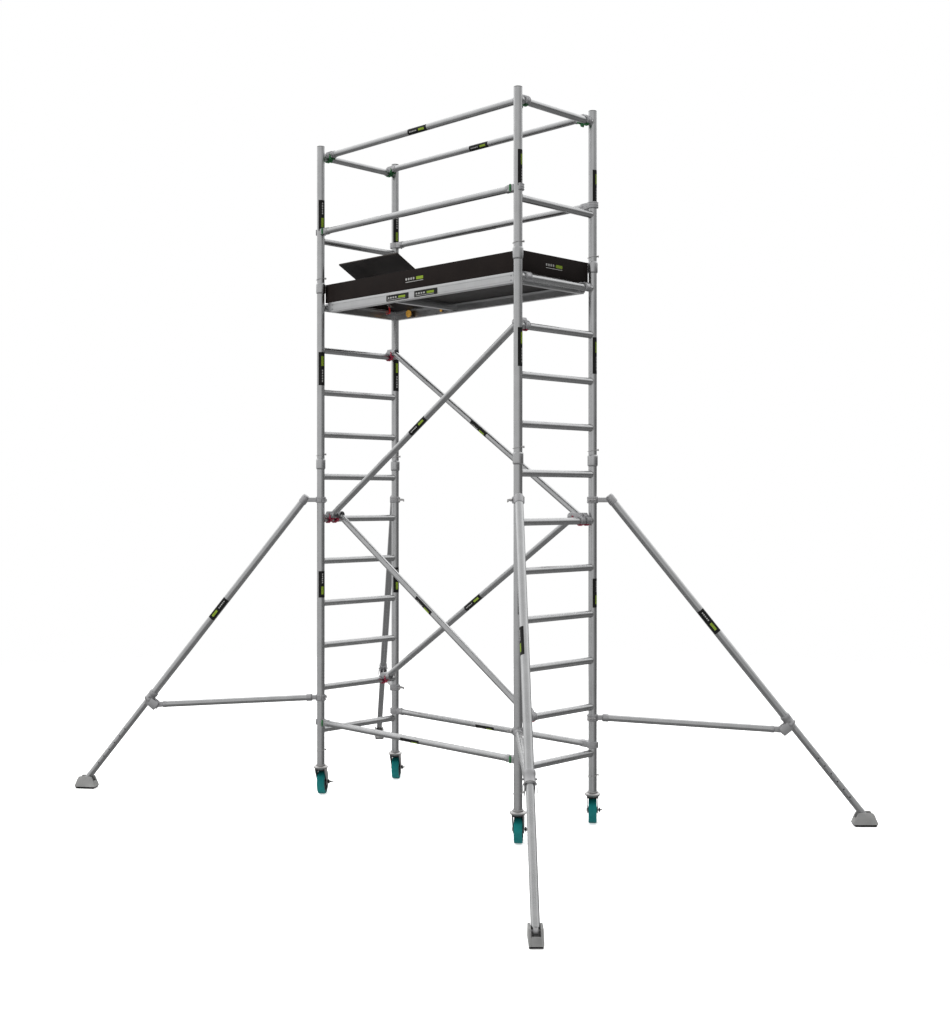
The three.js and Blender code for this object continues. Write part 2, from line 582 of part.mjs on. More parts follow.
for (const corner of CORNERS) {
  const castor = new THREE.Group();
  castor.position.set(corner.x * LENGTH / 2, corner.y * WIDTH / 2, 0);
  castor.rotation.z = rad(CASTOR.azimuth);
  add(castor, `castor_stem_${corner.name}`, castorStem(), ZINC);
  add(castor, `castor_fork_${corner.name}`, castorFork(), ZINC);
  add(castor, `castor_wheel_${corner.name}`, castorWheel(), TEAL, [CASTOR.trail, 0, CASTOR.axleZ]);
  const lever = add(castor, `castor_brake_${corner.name}`, brakeLever(), BLACK_PLASTIC, [CASTOR.trail, 0, CASTOR.axleZ]);
  lever.rotation.y = rad(BRAKE.droop);
  tower.add(castor);

  const stabilizer = new THREE.Group();
  stabilizer.position.set(corner.x * LENGTH / 2, corner.y * WIDTH / 2, 0);
  stabilizer.rotation.z = rad(corner.azimuth);
  add(stabilizer, `stabilizer_outer_${corner.name}`, outerLeg(), ALUMINIUM);
  add(stabilizer, `stabilizer_arm_${corner.name}`, stabilizerArm(), ALUMINIUM);
  add(stabilizer, `stabilizer_inner_${corner.name}`, innerLeg(), ALUMINIUM);
  add(stabilizer, `stabilizer_foot_${corner.name}`, stabilizerFoot(), FOOT_GREY);
  tower.add(stabilizer);
}

export default tower;
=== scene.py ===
"""Looks of the mobile tower scaffold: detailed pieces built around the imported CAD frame.

Shapes are drawn in millimetres. The tower frame has its origin on the floor in the middle of the
four castors, X along the tower and Y across it, and is moved to the row frame when a piece is made.
"""

import math

import bmesh
import bpy
from mathutils import Matrix, Vector


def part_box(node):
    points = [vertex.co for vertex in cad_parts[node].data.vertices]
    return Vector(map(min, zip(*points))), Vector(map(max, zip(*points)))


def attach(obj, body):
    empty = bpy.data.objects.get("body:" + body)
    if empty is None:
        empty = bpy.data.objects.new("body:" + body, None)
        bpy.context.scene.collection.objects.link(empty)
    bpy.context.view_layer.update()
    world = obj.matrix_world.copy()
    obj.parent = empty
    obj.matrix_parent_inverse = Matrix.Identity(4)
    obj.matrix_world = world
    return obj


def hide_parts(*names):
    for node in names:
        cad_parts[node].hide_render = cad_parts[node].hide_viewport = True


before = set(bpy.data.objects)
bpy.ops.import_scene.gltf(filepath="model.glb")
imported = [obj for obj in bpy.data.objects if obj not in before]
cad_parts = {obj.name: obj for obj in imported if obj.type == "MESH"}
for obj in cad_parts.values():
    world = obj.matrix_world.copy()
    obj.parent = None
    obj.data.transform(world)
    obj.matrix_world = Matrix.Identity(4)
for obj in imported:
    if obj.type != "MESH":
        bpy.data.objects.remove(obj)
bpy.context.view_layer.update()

MM = 0.001


def middle(node):
    """Centre of a CAD node's box, in millimetres."""
    low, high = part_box(node)
    return (low + high) / 2 / MM


def top_of(node):
    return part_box(node)[1].z / MM


# ---- sizes that the CAD source states
HALF_LENGTH = (middle("castor_stem_front_right").x - middle("castor_stem_front_left").x) / 2
HALF_WIDTH = middle("castor_stem_back_right").y
TOWER_X = middle("castor_stem_front_right").x - HALF_LENGTH
OUTER_BRACE_Y, INNER_BRACE_Y = 270.0, 215.0
UPRIGHT_R, UPRIGHT_WALL = 25.4, 2.0
RUNG_R, RUNG_WALL = 21.0, 1.8
BRACE_R, BRACE_WALL = 20.0, 1.8
RUNG_PITCH, FIRST_RUNG = 280.0, 437.0
FRAME_TOP = top_of("lower_frame_left")
UPPER_TOP = top_of("upper_frame_left")
GUARD_TOP = top_of("guard_frame_left") - 4
MID_RAIL, TOP_RAIL = 3682.0, 4240.0
CLAW_WALL, CLAW_WIDTH, CLAW_BLOCK, CLAW_SEAT = 9.0, 38.0, 46.0, 16.0
DECK_TOP = top_of("platform_deck")
DECK_LOW = DECK_TOP - 10.0
RIM_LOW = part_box("platform_frame")[0].z / MM
HALF_X, HALF_Y = 852.0, 300.0
HATCH_X = -255.0
HINGE_Y, HINGE_Z = 270.0, 3272.0
TRAPDOOR_OPEN = 28.5
KNUCKLES = (-700.0, -380.0)
HOOK_Y = 262.0
CASTOR_AZIMUTH, TRAIL, AXLE_Z, WHEEL_R = 130.0, 60.0, 80.0, 80.0
LATCH_X, LATCH_Y, LATCH_DROP = -806.0, 201.0, 10.0
LEG_SLOPE, LEG_T, LEG_Z = 1.25, 100.0, 1981.0
CLAMP_Z, ARM_CLAMP_Z = 1963.0, 650.0    # below, T is a distance out from the upright's axis
ARM_T, ARM_Z = 1150.0, 578.0
COLLAR_T, FOOT_T = 1190.0, 1637.0
OUTER_R, INNER_R = 24.0, 21.0
CLIP_HEIGHTS = (305, 2265, 3432)
SIDES = (("left", -1), ("right", 1))
FACES = (("front", -1), ("back", 1))
CORNERS = {              # side along X, side across Y, the way its stabilizer points, its label's angle
    "front_right": (1, -1, -44.3, 160),
    "back_right": (1, 1, 44.3, 180),
    "front_left": (-1, -1, -143, 0),
    "back_left": (-1, 1, 143, 90),
}


def rung_z(number):
    return FIRST_RUNG + RUNG_PITCH * (number - 1)


# ---- materials
def node(tree, kind, **inputs):
    """A shader node with some of its sockets set by name or index."""
    made = tree.nodes.new(kind)
    for key, value in inputs.items():
        socket = made.inputs[int(key[1:])] if key[0] == "i" and key[1:].isdigit() else made.inputs[key]
        if isinstance(value, bpy.types.NodeSocket):
            tree.links.new(value, socket)
        else:
            socket.default_value = value
    return made


def remap(tree, value, from_low, from_high, to_low=0.0, to_high=1.0):
    made = node(tree, "ShaderNodeMapRange", Value=value)
    for socket, end in zip(made.inputs[1:5], (from_low, from_high, to_low, to_high)):
        socket.default_value = end
    return made


def blend(tree, factor, first, second):
    """A mix of two colours or of two numbers, each given as such or as a socket."""
    colours = isinstance(second, tuple) or isinstance(first, tuple)
    made = tree.nodes.new("ShaderNodeMix")
    made.data_type = "RGBA" if colours else "FLOAT"
    offset = 6 if colours else 2
    tree.links.new(factor, made.inputs[0])
    for socket, value in zip(made.inputs[offset:offset + 2], (first, second)):
        if isinstance(value, bpy.types.NodeSocket):
            tree.links.new(value, socket)
        else:
            socket.default_value = (*value, 1.0) if colours else value
    return made.outputs[2 if colours else 0]


def material(name, dark, light, rough, grain, bump=0.1, metallic=0.0, cells=0.0, scuff=None, sheen=0.5):
    """A surface with colour variation, uneven gloss and grain.

    grain is how fine the pattern is along the shape's own axes, per millimetre. cells adds an
    embossed cell pattern of that fineness, scuff is a second colour where the surface is rubbed and
    sheen says how strongly a bare surface mirrors.
    """
    made = bpy.data.materials.new(name)
    made.use_nodes = True
    tree = made.node_tree
    bsdf = tree.nodes["Principled BSDF"]
    attribute = node(tree, "ShaderNodeAttribute")
    attribute.attribute_name = "grain"
    place = attribute.outputs["Vector"]
    stretched = node(tree, "ShaderNodeVectorMath", i0=place, i1=grain)
    stretched.operation = "MULTIPLY"
    noise = "ShaderNodeTexNoise"
    fine = node(tree, noise, Vector=stretched.outputs[0], Scale=1.0, Detail=5.0, Roughness=0.6)
    broad = node(tree, noise, Vector=place, Scale=0.012, Detail=3.0)
    pattern = node(tree, "ShaderNodeMath", i0=fine.outputs[0], i1=broad.outputs[0]).outputs[0]
    colour = blend(tree, remap(tree, pattern, 0.75, 1.25).outputs[0], dark, light)
    if scuff:
        streak = node(tree, noise, Vector=place, Scale=0.05, Detail=8.0, Roughness=0.75)
        rubbed = remap(tree, streak.outputs[0], 0.6, 0.72, 0.0, 0.55)
        colour = blend(tree, rubbed.outputs[0], colour, scuff)
    tree.links.new(colour, bsdf.inputs["Base Color"])
    gloss = remap(tree, pattern, 0.75, 1.25, *rough)
    tree.links.new(gloss.outputs[0], bsdf.inputs["Roughness"])
    height = fine.outputs[0]
    if cells:
        voronoi = node(tree, "ShaderNodeTexVoronoi", Vector=place, Scale=cells)
        voronoi.feature = "DISTANCE_TO_EDGE"
        height = voronoi.outputs["Distance"]
    relief = node(tree, "ShaderNodeBump", Strength=bump, Distance=0.0006, Height=height)
    tree.links.new(relief.outputs[0], bsdf.inputs["Normal"])
    bsdf.inputs["Metallic"].default_value = metallic
    bsdf.inputs["Specular IOR Level"].default_value = sheen
    return made


ALONG = (0.5, 0.5, 0.006)
EVEN = (0.35, 0.35, 0.35)
FINE = (1.2, 1.2, 1.2)
COARSE = (0.8, 0.8, 0.8)
PLIES = (0.05, 0.05, 1.4)
METAL = 1.0
ALUMINIUM = material(
    "tube_aluminium", (0.55, 0.555, 0.56), (0.64, 0.645, 0.65), (0.24, 0.31), ALONG, 0.08, METAL
)
EXTRUDED = material(
    "platform_extrusion", (0.6, 0.605, 0.61), (0.67, 0.675, 0.68), (0.3, 0.37), ALONG, 0.08, METAL
)
CAST = material("cast_aluminium", (0.50, 0.50, 0.51), (0.64, 0.64, 0.65), (0.42, 0.56), FINE, 0.35, METAL)
WELD = material("weld_bead", (0.46, 0.46, 0.46), (0.62, 0.62, 0.61), (0.36, 0.5), COARSE, 0.6, METAL)
ZINC = material("zinc_plate", (0.56, 0.55, 0.55), (0.70, 0.69, 0.68), (0.3, 0.42), EVEN, 0.12, METAL)
STEEL = material("bolt_steel", (0.28, 0.28, 0.29), (0.46, 0.46, 0.47), (0.3, 0.42), EVEN, 0.1, METAL)
DECK = material(
    "film_faced_board", (0.01, 0.009, 0.009), (0.022, 0.019, 0.018), (0.5, 0.65), FINE, 0.4,
    cells=0.28, scuff=(0.045, 0.041, 0.039), sheen=0.3,
)
BOARD_EDGE = material("plywood_edge", (0.018, 0.014, 0.012), (0.04, 0.03, 0.024), (0.6, 0.8), PLIES, 0.5)
TOE_BOARD = material(
    "toe_board_film", (0.009, 0.0065, 0.006), (0.014, 0.0105, 0.0095), (0.6, 0.7), (0.9, 0.9, 0.9), 0.15,
    scuff=(0.026, 0.021, 0.019), sheen=0.12,
)
TEAL = material(
    "teal_polyurethane", (0.002, 0.095, 0.098), (0.005, 0.155, 0.15), (0.4, 0.55), EVEN, 0.12, sheen=0.15
)
HUB = material("hub_nylon", (0.012, 0.014, 0.018), (0.035, 0.038, 0.045), (0.4, 0.6), FINE, 0.2)
# Black plastic, and also painted shade: the dark sheets over the castor tyres and the pin-hole spots on the
# stabilizer legs.
BLACK_PLASTIC_AND_SHADE = material(
    "black_plastic", (0.008, 0.008, 0.009), (0.022, 0.022, 0.024), (0.4, 0.6), FINE, 0.25, sheen=0.3
)
RUBBER = material(
    "sole_rubber", (0.006, 0.006, 0.006), (0.014, 0.014, 0.014), (0.7, 0.85), FINE, 0.5, sheen=0.15
)
FOOT_GREY = material("foot_plastic", (0.17, 0.17, 0.168), (0.25, 0.25, 0.245), (0.45, 0.6), FINE, 0.3)
GREEN = material("green_plastic", (0.006, 0.06, 0.016), (0.016, 0.13, 0.035), (0.4, 0.55), FINE, 0.15)
CRIMSON = material("crimson_plastic", (0.14, 0.005, 0.022), (0.26, 0.012, 0.04), (0.4, 0.55), FINE, 0.15)
RED = material("red_plastic", (0.32, 0.006, 0.008), (0.52, 0.018, 0.018), (0.35, 0.5), FINE, 0.15)
ORANGE = material("orange_plastic", (0.40, 0.20, 0.025), (0.55, 0.30, 0.05), (0.4, 0.55), FINE, 0.15)
LABEL = material("label_film", (0.004, 0.004, 0.004), (0.01, 0.01, 0.01), (0.4, 0.5), EVEN, 0.05, sheen=0.2)
LIME = material("label_lime", (0.13, 0.20, 0.012), (0.19, 0.27, 0.024), (0.4, 0.5), EVEN, 0.05, sheen=0.2)
PALE = material("label_pale", (0.26, 0.26, 0.25), (0.36, 0.36, 0.35), (0.4, 0.5), EVEN, 0.05, sheen=0.2)


# ---- shapes
def move(x=0.0, y=0.0, z=0.0):
    return Matrix.Translation((x, y, z))


def turn(degrees, axis):
    return Matrix.Rotation(math.radians(degrees), 4, axis)


def flip(x=1, y=1, z=1):
    return Matrix.Diagonal((x, y, z, 1))


def between(start, end):
    """Places what is drawn up the Z axis so that it runs from one point towards another."""
    start, end = Vector(start), Vector(end)
    return Matrix.Translation(start) @ (end - start).to_track_quat("Z", "Y").to_matrix().to_4x4()


STAND = turn(90, "X")                 # a shape drawn in XY stands in XZ
SIDEWAYS = turn(90, "Z") @ STAND      # a shape drawn in XY stands in YZ
ACROSS = turn(-90, "X")               # a shape drawn along Z lies along Y


def circle(radius, z, sides):
    if radius == 0:
        return [(0.0, 0.0, z)]
    step = 2 * math.pi / sides
    return [(radius * math.cos(step * i), radius * math.sin(step * i), z) for i in range(sides)]


def arc(radius, start, end, steps, cx=0.0, cy=0.0):
    """Points on an arc in the plane, angles in degrees."""
    angles = [math.radians(start + (end - start) * i / steps) for i in range(steps + 1)]
    return [(cx + radius * math.cos(a), cy + radius * math.sin(a)) for a in angles]


def soften(points, radius, steps=3):
    """A closed outline with its corners rounded."""
    made = []
    count = len(points)
    for i in range(count):
        here = Vector(points[i])
        before = Vector(points[i - 1]) - here
        after = Vector(points[(i + 1) % count]) - here
        reach = min(radius, before.length * 0.45, after.length * 0.45)
        a, b = here + before.normalized() * reach, here + after.normalized() * reach
        for k in range(steps + 1):
            t = k / steps
            made.append(tuple(a * (1 - t) ** 2 + here * 2 * t * (1 - t) + b * t * t))
    return made


def rectangle(x0, y0, x1, y1, corner=0.0):
    points = [(x0, y0), (x1, y0), (x1, y1), (x0, y1)]
    return soften(points, corner) if corner else points


def mirrored(profile):
    """A profile of [radius, z] points, followed by its mirror image above."""
    return profile + [(r, -z) for r, z in reversed(profile)]


def inset(points, depth):
    """A closed outline moved to its left by depth."""
    made = []
    count = len(points)
    for i in range(count):
        here = Vector(points[i])
        before = (here - Vector(points[i - 1])).normalized()
        after = (Vector(points[(i + 1) % count]) - here).normalized()
        normal = Vector((-before.y - after.y, before.x + after.x))
        if normal.length < 1e-6:
            made.append(tuple(here))
            continue
        normal.normalize()
        stretch = max(0.5, normal.dot(Vector((-before.y, before.x))))
        made.append(tuple(here + normal * depth / stretch))
    return made


class Piece:
    """One object of the looks, drawn shape by shape."""

    count = 0

    def __init__(self, place=Matrix()):
        self.bm = bmesh.new()
        self.grain = self.bm.verts.layers.float_vector.new("grain")
        self.place = place
        self.materials = []
        self.index = 0

    def use(self, look):
        """What is drawn next has this material."""
        if look not in self.materials:
            self.materials.append(look)
        self.index = self.materials.index(look)
        return self

    def face(self, corners):
        self.bm.faces.new(corners).material_index = self.index

    def loft(self, rings, place=Matrix(), wrap=False, capped=False):
        """Joins successive rings of points. A ring of one point is a tip."""
        Piece.count += 1
        whole = self.place @ place
        made = []
        for ring in rings:
            row = []
            for point in ring:
                vert = self.bm.verts.new(whole @ Vector(point))
                vert[self.grain] = Vector(point) + Vector((0, 0, 211.0 * (Piece.count % 97)))
                row.append(vert)
            made.append(row)
        following = made[1:] + made[:1] if wrap else made[1:]
        for a, b in zip(made, following):
            for i in range(max(len(a), len(b))):
                j = i + 1
                corners = [a[i % len(a)], a[j % len(a)], b[j % len(b)], b[i % len(b)]]
                self.face(list(dict.fromkeys(corners)))
        if capped:
            self.face(made[0][::-1])
            self.face(made[-1])
        return made

    def lathe(self, profile, place=Matrix(), sides=32, wrap=False):
        """A body of revolution about Z from [radius, z] points."""
        return self.loft([circle(r, z, sides) for r, z in profile], place, wrap)

    def tube(self, start, end, radius, wall, sides=36):
        """An open tube with eased ends."""
        length = (Vector(end) - Vector(start)).length
        inner = radius - wall
        edge = 0.5
        profile = [
            (inner, edge), (inner + edge, 0), (radius - edge, 0), (radius, edge),
            (radius, length - edge), (radius - edge, length), (inner + edge, length), (inner, length - edge),
        ]
        self.lathe(profile, between(start, end), sides, wrap=True)

    def bar(self, start, end, radius, sides=20):
        """A solid round bar with eased ends."""
        length = (Vector(end) - Vector(start)).length
        edge = 0.8
        ease = [(0, 0), (radius - edge, 0), (radius - edge * 0.3, edge * 0.3), (radius, edge)]
        profile = ease + [(r, length - z) for r, z in reversed(ease)]
        self.lathe(profile, between(start, end), sides)

    def slab(self, outline, thick, place=Matrix(), holes=(), edge=1.0, steps=2):
        """A flat shape in XY with rounded edges, thick along Z and centred on z = 0."""
        caps = ([], [])
        for loop in (outline, *holes):
            rings = []
            for side in (-1, 1):
                for k in range(steps + 1):
                    a = math.radians(90 * (k if side < 0 else steps - k) / steps)
                    depth = edge * (1 - math.sin(a))
                    z = side * (thick / 2 - edge * (1 - math.cos(a)))
                    rings.append([(x, y, z) for x, y in inset(loop, depth)])
            made = self.loft(rings, place)
            for cap, ring in zip(caps, (made[0], made[-1])):
                for i, vert in enumerate(ring):
                    cap.append(self.bm.edges.get((vert, ring[(i + 1) % len(ring)])))
        for cap in caps:
            filled = bmesh.ops.triangle_fill(self.bm, edges=cap, use_beauty=True)
            for element in filled["geom"]:
                if isinstance(element, bmesh.types.BMFace):
                    element.material_index = self.index

    def block(self, low, high, corner, edge):
        """A box with rounded upright corners and eased edges."""
        (x0, y0, z0), (x1, y1, z1) = low, high
        outline = rectangle(x0, y0, x1, y1, corner)
        self.slab(outline, z1 - z0, move(z=(z0 + z1) / 2), edge=edge)

    def wire(self, path, radius, place=Matrix(), sides=8, closed=False, ripple=0.0):
        """A round wire along points."""
        points = [Vector(p) for p in path]
        count = len(points)
        rings = []
        side = None
        for i, here in enumerate(points):
            ahead = points[(i + 1) % count] if closed or i < count - 1 else here
            behind = points[i - 1] if closed or i > 0 else here
            tangent = (ahead - behind).normalized()
            if side is None:
                side = tangent.orthogonal().normalized()
            side = (side - tangent * side.dot(tangent)).normalized()
            other = tangent.cross(side)
            section = circle(radius + (ripple if i % 2 else 0.0), 0, sides)
            rings.append([here + side * x + other * y for x, y, _ in section])
        self.loft(rings, place, wrap=closed, capped=not closed)

    def hexagon(self, centre, direction, across, height):
        """A bolt head or nut with chamfered corners."""
        flats = soften(arc(across / math.sqrt(3), 0, 300, 5), 1.2)
        place = between(centre, Vector(centre) + Vector(direction)) @ move(z=height / 2)
        self.slab(flats, height, place, edge=0.8)

    def patch(self, radius, middle_angle, half_angle, z0, z1, lift, place=Matrix()):
        """A thin film wrapped round part of a tube."""
        steps = max(3, int(half_angle / 6))
        outer = arc(radius + lift, middle_angle - half_angle, middle_angle + half_angle, steps)
        inner = arc(radius + 0.02, middle_angle + half_angle, middle_angle - half_angle, steps)
        rings = [[(x, y, z) for x, y in outer + inner] for z in (z0, z1)]
        self.loft(rings, place, capped=True)

    def make(self, name, body, replaces=()):
        """Turns the drawing into an object that rides on a body."""
        bmesh.ops.recalc_face_normals(self.bm, faces=self.bm.faces)
        self.bm.transform(Matrix.Scale(MM, 4) @ move(x=TOWER_X))
        for face in self.bm.faces:
            face.smooth = True
        for edge in self.bm.edges:
            edge.smooth = edge.calc_face_angle(0) < math.radians(40)
        mesh = bpy.data.meshes.new(name)
        self.bm.to_mesh(mesh)
        self.bm.free()
        for look in self.materials:
            mesh.materials.append(look)
        made = bpy.data.objects.new(name, mesh)
        bpy.context.scene.collection.objects.link(made)
        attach(made, body)
        if replaces:
            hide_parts(*replaces)
        return made


# ---- labels without lettering
def sticker(piece, place, radius, angle, low, high, lime_high=True):
    """A black film round a tube with a lime block at one end and a row of plain pale bars at the other."""
    length = high - low
    half_angle = 62
    piece.use(LABEL).patch(radius, angle, half_angle, low, high, 0.35, place)
    start = low + length * (0.58 if lime_high else 0.12)
    piece.use(LIME).patch(radius, angle, half_angle * 0.3, start, start + length * 0.3, 0.55, place)
    start = low + length * (0.1 if lime_high else 0.54)
    for k in range(5):
        z = start + k * length * 0.08
        piece.use(PALE).patch(radius, angle, half_angle * 0.14, z, z + length * 0.05, 0.55, place)


def plaque(piece, place, width, height, backed=True):
    """A flat label in XY: a lime block, plain pale bars and a rule. Backed, it has a pale rim."""
    def strip(x, y, w, h, look, thick):
        outline = rectangle(x, y, x + w, y + h, min(w, h) * 0.2)
        piece.use(look).slab(outline, thick, place @ move(z=thick / 2), edge=0.1, steps=1)

    if backed:
        strip(-width / 2, -height / 2, width, height, PALE, 0.4)
        strip(-width / 2 + 3, -height / 2 + 3, width - 6, height - 6, LABEL, 0.6)
    for k in range(4):
        strip(-width * 0.42 + k * width * 0.105, -height * 0.06, width * 0.065, height * 0.22, PALE, 0.8)
    strip(width * 0.04, -height * 0.12, width * 0.3, height * 0.3, LIME, 0.8)
    strip(-width * 0.42, -height * 0.28, width * 0.76, height * 0.06, PALE, 0.8)


# ---- ladder frames
def cross_tube(piece, z):
    """A tube coped to fit both uprights, with its weld beads."""
    def coped(radius, end, gap=-0.5):
        return [
            (x, y, end * (HALF_WIDTH - math.sqrt((UPRIGHT_R + gap) ** 2 - x * x)))
            for x, y, _ in circle(radius, 0, 36)
        ]

    place = move(z=z) @ ACROSS
    inner = RUNG_R - RUNG_WALL
    rings = [coped(RUNG_R, -1), coped(RUNG_R, 1), coped(inner, 1), coped(inner, -1)]
    piece.use(ALUMINIUM).loft(rings, place, wrap=True)
    piece.use(WELD)
    for end in (-1, 1):
        piece.wire(coped(RUNG_R + 0.6, end, 0.6), 2.1, place, 6, closed=True, ripple=0.35)


def swaged_socket(piece, y, z):
    """The barrel at the foot of a stacked upright, and the spigot inside it."""
    profile = [
        (UPRIGHT_R - 1.5, 0.4), (26.2, 0.4), (28.8, 2.5), (30.4, 6), (31, 11), (31, 58), (30.2, 64),
        (28.2, 68), (25.5, 70.5), (23.9, 70.5),
    ]
    piece.use(ALUMINIUM).lathe(profile, move(y=y, z=z), 44, wrap=True)
    seam = rectangle(24.2, -0.4, 25.9, 0.3)
    piece.use(STEEL).lathe(seam, move(y=y, z=z), 44, wrap=True)
    piece.use(ALUMINIUM).tube((0, y, z - 110), (0, y, z + 34), 23, 2.2, 24)


def ladder(name, x, low, high, cross_heights, stacked):
    piece = Piece(move(x=x))
    for y in (-HALF_WIDTH, HALF_WIDTH):
        foot = low + (0.4 if stacked else 0)
        piece.use(ALUMINIUM).tube((0, y, foot), (0, y, high), UPRIGHT_R, UPRIGHT_WALL, 44)
        if stacked:
            swaged_socket(piece, y, low)
    for z in cross_heights:
        cross_tube(piece, z)
    if name.startswith("guard"):
        piece.use(BLACK_PLASTIC_AND_SHADE)
        for y in (-HALF_WIDTH, HALF_WIDTH):
            plug = [(0, -24), (22.6, -24), (22.6, -0.5), (24.6, 0), (25.2, 1.2), (24.2, 3.2), (20, 4), (0, 4)]
            piece.lathe(plug, move(y=y, z=high), 40)
    piece.make(name + "_tubes", "tower", [name])


def spring_clip(piece, x, y, z, azimuth):
    """A sprung wire ring round a tube whose end goes through the joint as a locking pin."""
    place = move(x, y, z) @ turn(azimuth, "Z")
    piece.use(ZINC)
    gap = math.radians(28)
    angles = [gap + (2 * math.pi - 2 * gap) * k / 28 for k in range(29)]
    loop = [(30.5 * math.cos(a), 28.5 * math.sin(a), -10 * math.sin(a / 2) ** 2) for a in angles]
    piece.wire(loop, 1.5, place)
    head = place @ between((24, 0, 0), (40, 0, 0))
    piece.lathe([(0, 0), (4.2, 0), (4.2, 6), (6.8, 6.6), (7.4, 8), (7.2, 11), (5.4, 13), (0, 13.6)], head, 20)
    for side in (-1, 1):
        end = (30.5 * math.cos(gap), side * 28.5 * math.sin(gap), -0.6)
        piece.wire([end, (33, side * 8, 0), (35.5, side * 3, 0)], 1.5, place)


for side_name, side in SIDES:
    x = side * HALF_LENGTH
    ladder(f"lower_frame_{side_name}", x, 207, FRAME_TOP, [rung_z(k) for k in range(1, 8)], False)
    ladder(f"upper_frame_{side_name}", x, FRAME_TOP, UPPER_TOP, [rung_z(k) for k in range(8, 12)], True)
    ladder(f"guard_frame_{side_name}", x, UPPER_TOP, GUARD_TOP, [MID_RAIL, TOP_RAIL], True)
    facing = 12 if side > 0 else -12
    labels = Piece()
    for face in (-1, 1):
        post = move(x, face * HALF_WIDTH, 0)
        sticker(labels, post, UPRIGHT_R, facing, 1315, 1490, lime_high=False)
        sticker(labels, post, UPRIGHT_R, facing, 2722, 2942)
        sticker(labels, post, UPRIGHT_R, facing, 3745, 3950, lime_high=side > 0)
    labels.make(f"upright_labels_{side_name}", "tower")
    for face_name, face in FACES:
        clips = Piece()
        for z in CLIP_HEIGHTS:
            spring_clip(clips, x, face * HALF_WIDTH, z, 40)
        clips.make(f"spring_clips_{face_name}_{side_name}", "tower")


# ---- braces and guardrails
def claw_outline(radius, rise):
    inside = radius + 0.3
    outside = inside + CLAW_WALL
    top, bottom = rise + BRACE_R + 1, rise - BRACE_R - 1
    reach = radius + CLAW_BLOCK
    over = top > outside
    start = 100 if over else math.degrees(math.asin(top / outside))
    points = [(reach, bottom + 4), (reach, top - 5), (reach - 1.5, top - 1.5), (reach - 5, top)]
    if over:
        points.append((inside / 3, top))
    points += arc(outside, start, 212, 22)
    points += arc(CLAW_WALL / 2, 215, 395, 6, *arc((inside + outside) / 2, 214, 214, 1)[0])[1:-1]
    points += arc(inside, 212, math.degrees(math.asin(bottom / inside)), 26)
    points.append((reach - 4, bottom))
    return points


def claw(piece, place, radius, rise):
    """A cast hook with its socket for the brace tube, cheek ribs and rivets."""
    inside = radius + 0.3
    reach = radius + CLAW_BLOCK
    piece.use(CAST).slab(claw_outline(radius, rise), CLAW_WIDTH, place, edge=2.4, steps=3)
    rib = arc(inside + CLAW_WALL + 2.2, 95, 205, 16) + arc(inside + 2, 205, 95, 16)
    for z in (-14, 0, 14):
        piece.slab(rib, 3.2, place @ move(z=z), edge=0.8)
    socket = place @ between((reach - 12, rise, 0), (reach + 18, rise, 0))
    bore = BRACE_R - 0.2
    profile = [(bore, 0), (22, 0), (23.2, 2), (23.2, 22), (22.4, 26), (20.8, 29), (bore, 29)]
    piece.lathe(profile, socket, 36, wrap=True)
    piece.use(ZINC)
    for z in (-1, 1):
        rivet = place @ between((reach - 15, rise, z * 15), (reach - 15, rise, z * 40))
        piece.lathe([(0, 0), (5, 0), (5, 4.2), (4.6, 5.6), (3.2, 6.9), (0, 7.4)], rivet, 18)


def trigger(piece, place, radius, rise, look):
    """The sprung catch that closes a claw's open side, with its finger tab and pivot."""
    bottom = rise - BRACE_R - 1
    start, end = 226.0, 360 + math.degrees(math.asin(bottom / (radius + 0.3))) - 3
    inner, outer = radius + 1.2, radius + 7.2
    hook = arc(inner, end, start, 18) + arc(outer, start, end, 18)
    piece.use(look).slab(hook[::-1], 15, place, edge=1.4)
    x = radius + 6
    tab = [
        (x - 2, bottom + 2), (x + 26, bottom + 2), (x + 27, bottom - 5), (x + 15, bottom - 9),
        (x + 9, bottom - 25), (x + 2, bottom - 29), (x - 3, bottom - 25), (x - 4, bottom - 8),
    ]
    piece.slab(soften(tab[::-1], 3)[::-1], 15, place, edge=1.6)
    strap_x = radius + 24
    low, high = bottom - 6, rise + 4
    cheek = [(strap_x - 9, low), (strap_x + 9, low), (strap_x + 7, high), (strap_x - 7, high)]
    for z in (-1, 1):
        piece.slab(soften(cheek, 4), 2.6, place @ move(z=z * (CLAW_WIDTH / 2 + 1.2)), edge=0.8)
    bridge = rectangle(strap_x - 9, bottom - 7.5, strap_x + 9, bottom - 4.5, 1)
    piece.slab(bridge, CLAW_WIDTH + 4.8, place, edge=0.6)
    piece.use(ZINC)
    length = CLAW_WIDTH + 9
    pin = place @ between((strap_x, rise - 8, -length / 2), (strap_x, rise - 8, 1))
    head = [(0, 0), (3.4, 0.3), (4, 1.2)]
    piece.lathe(head + [(r, length - z) for r, z in reversed(head)], pin, 14)


def push_strip(piece, place, radius):
    """The sprung release strip on the outer face of a level brace's claw."""
    reach = radius + 16
    face = place @ move(y=-BRACE_R - 2.4) @ STAND
    piece.use(GREEN).slab(rectangle(reach - 7, -22, reach + 7, 22, 4), 4.4, face, edge=1.2)
    piece.slab(rectangle(reach - 4, -16, reach + 4, -4, 2), 2.4, face @ move(z=3), edge=0.8)
    piece.use(STEEL)
    for z in (-19, 19):
        piece.lathe([(0, 0), (2.6, 0), (2.6, 1.2), (0, 1.8)], face @ move(reach, z, 1.9), 14)


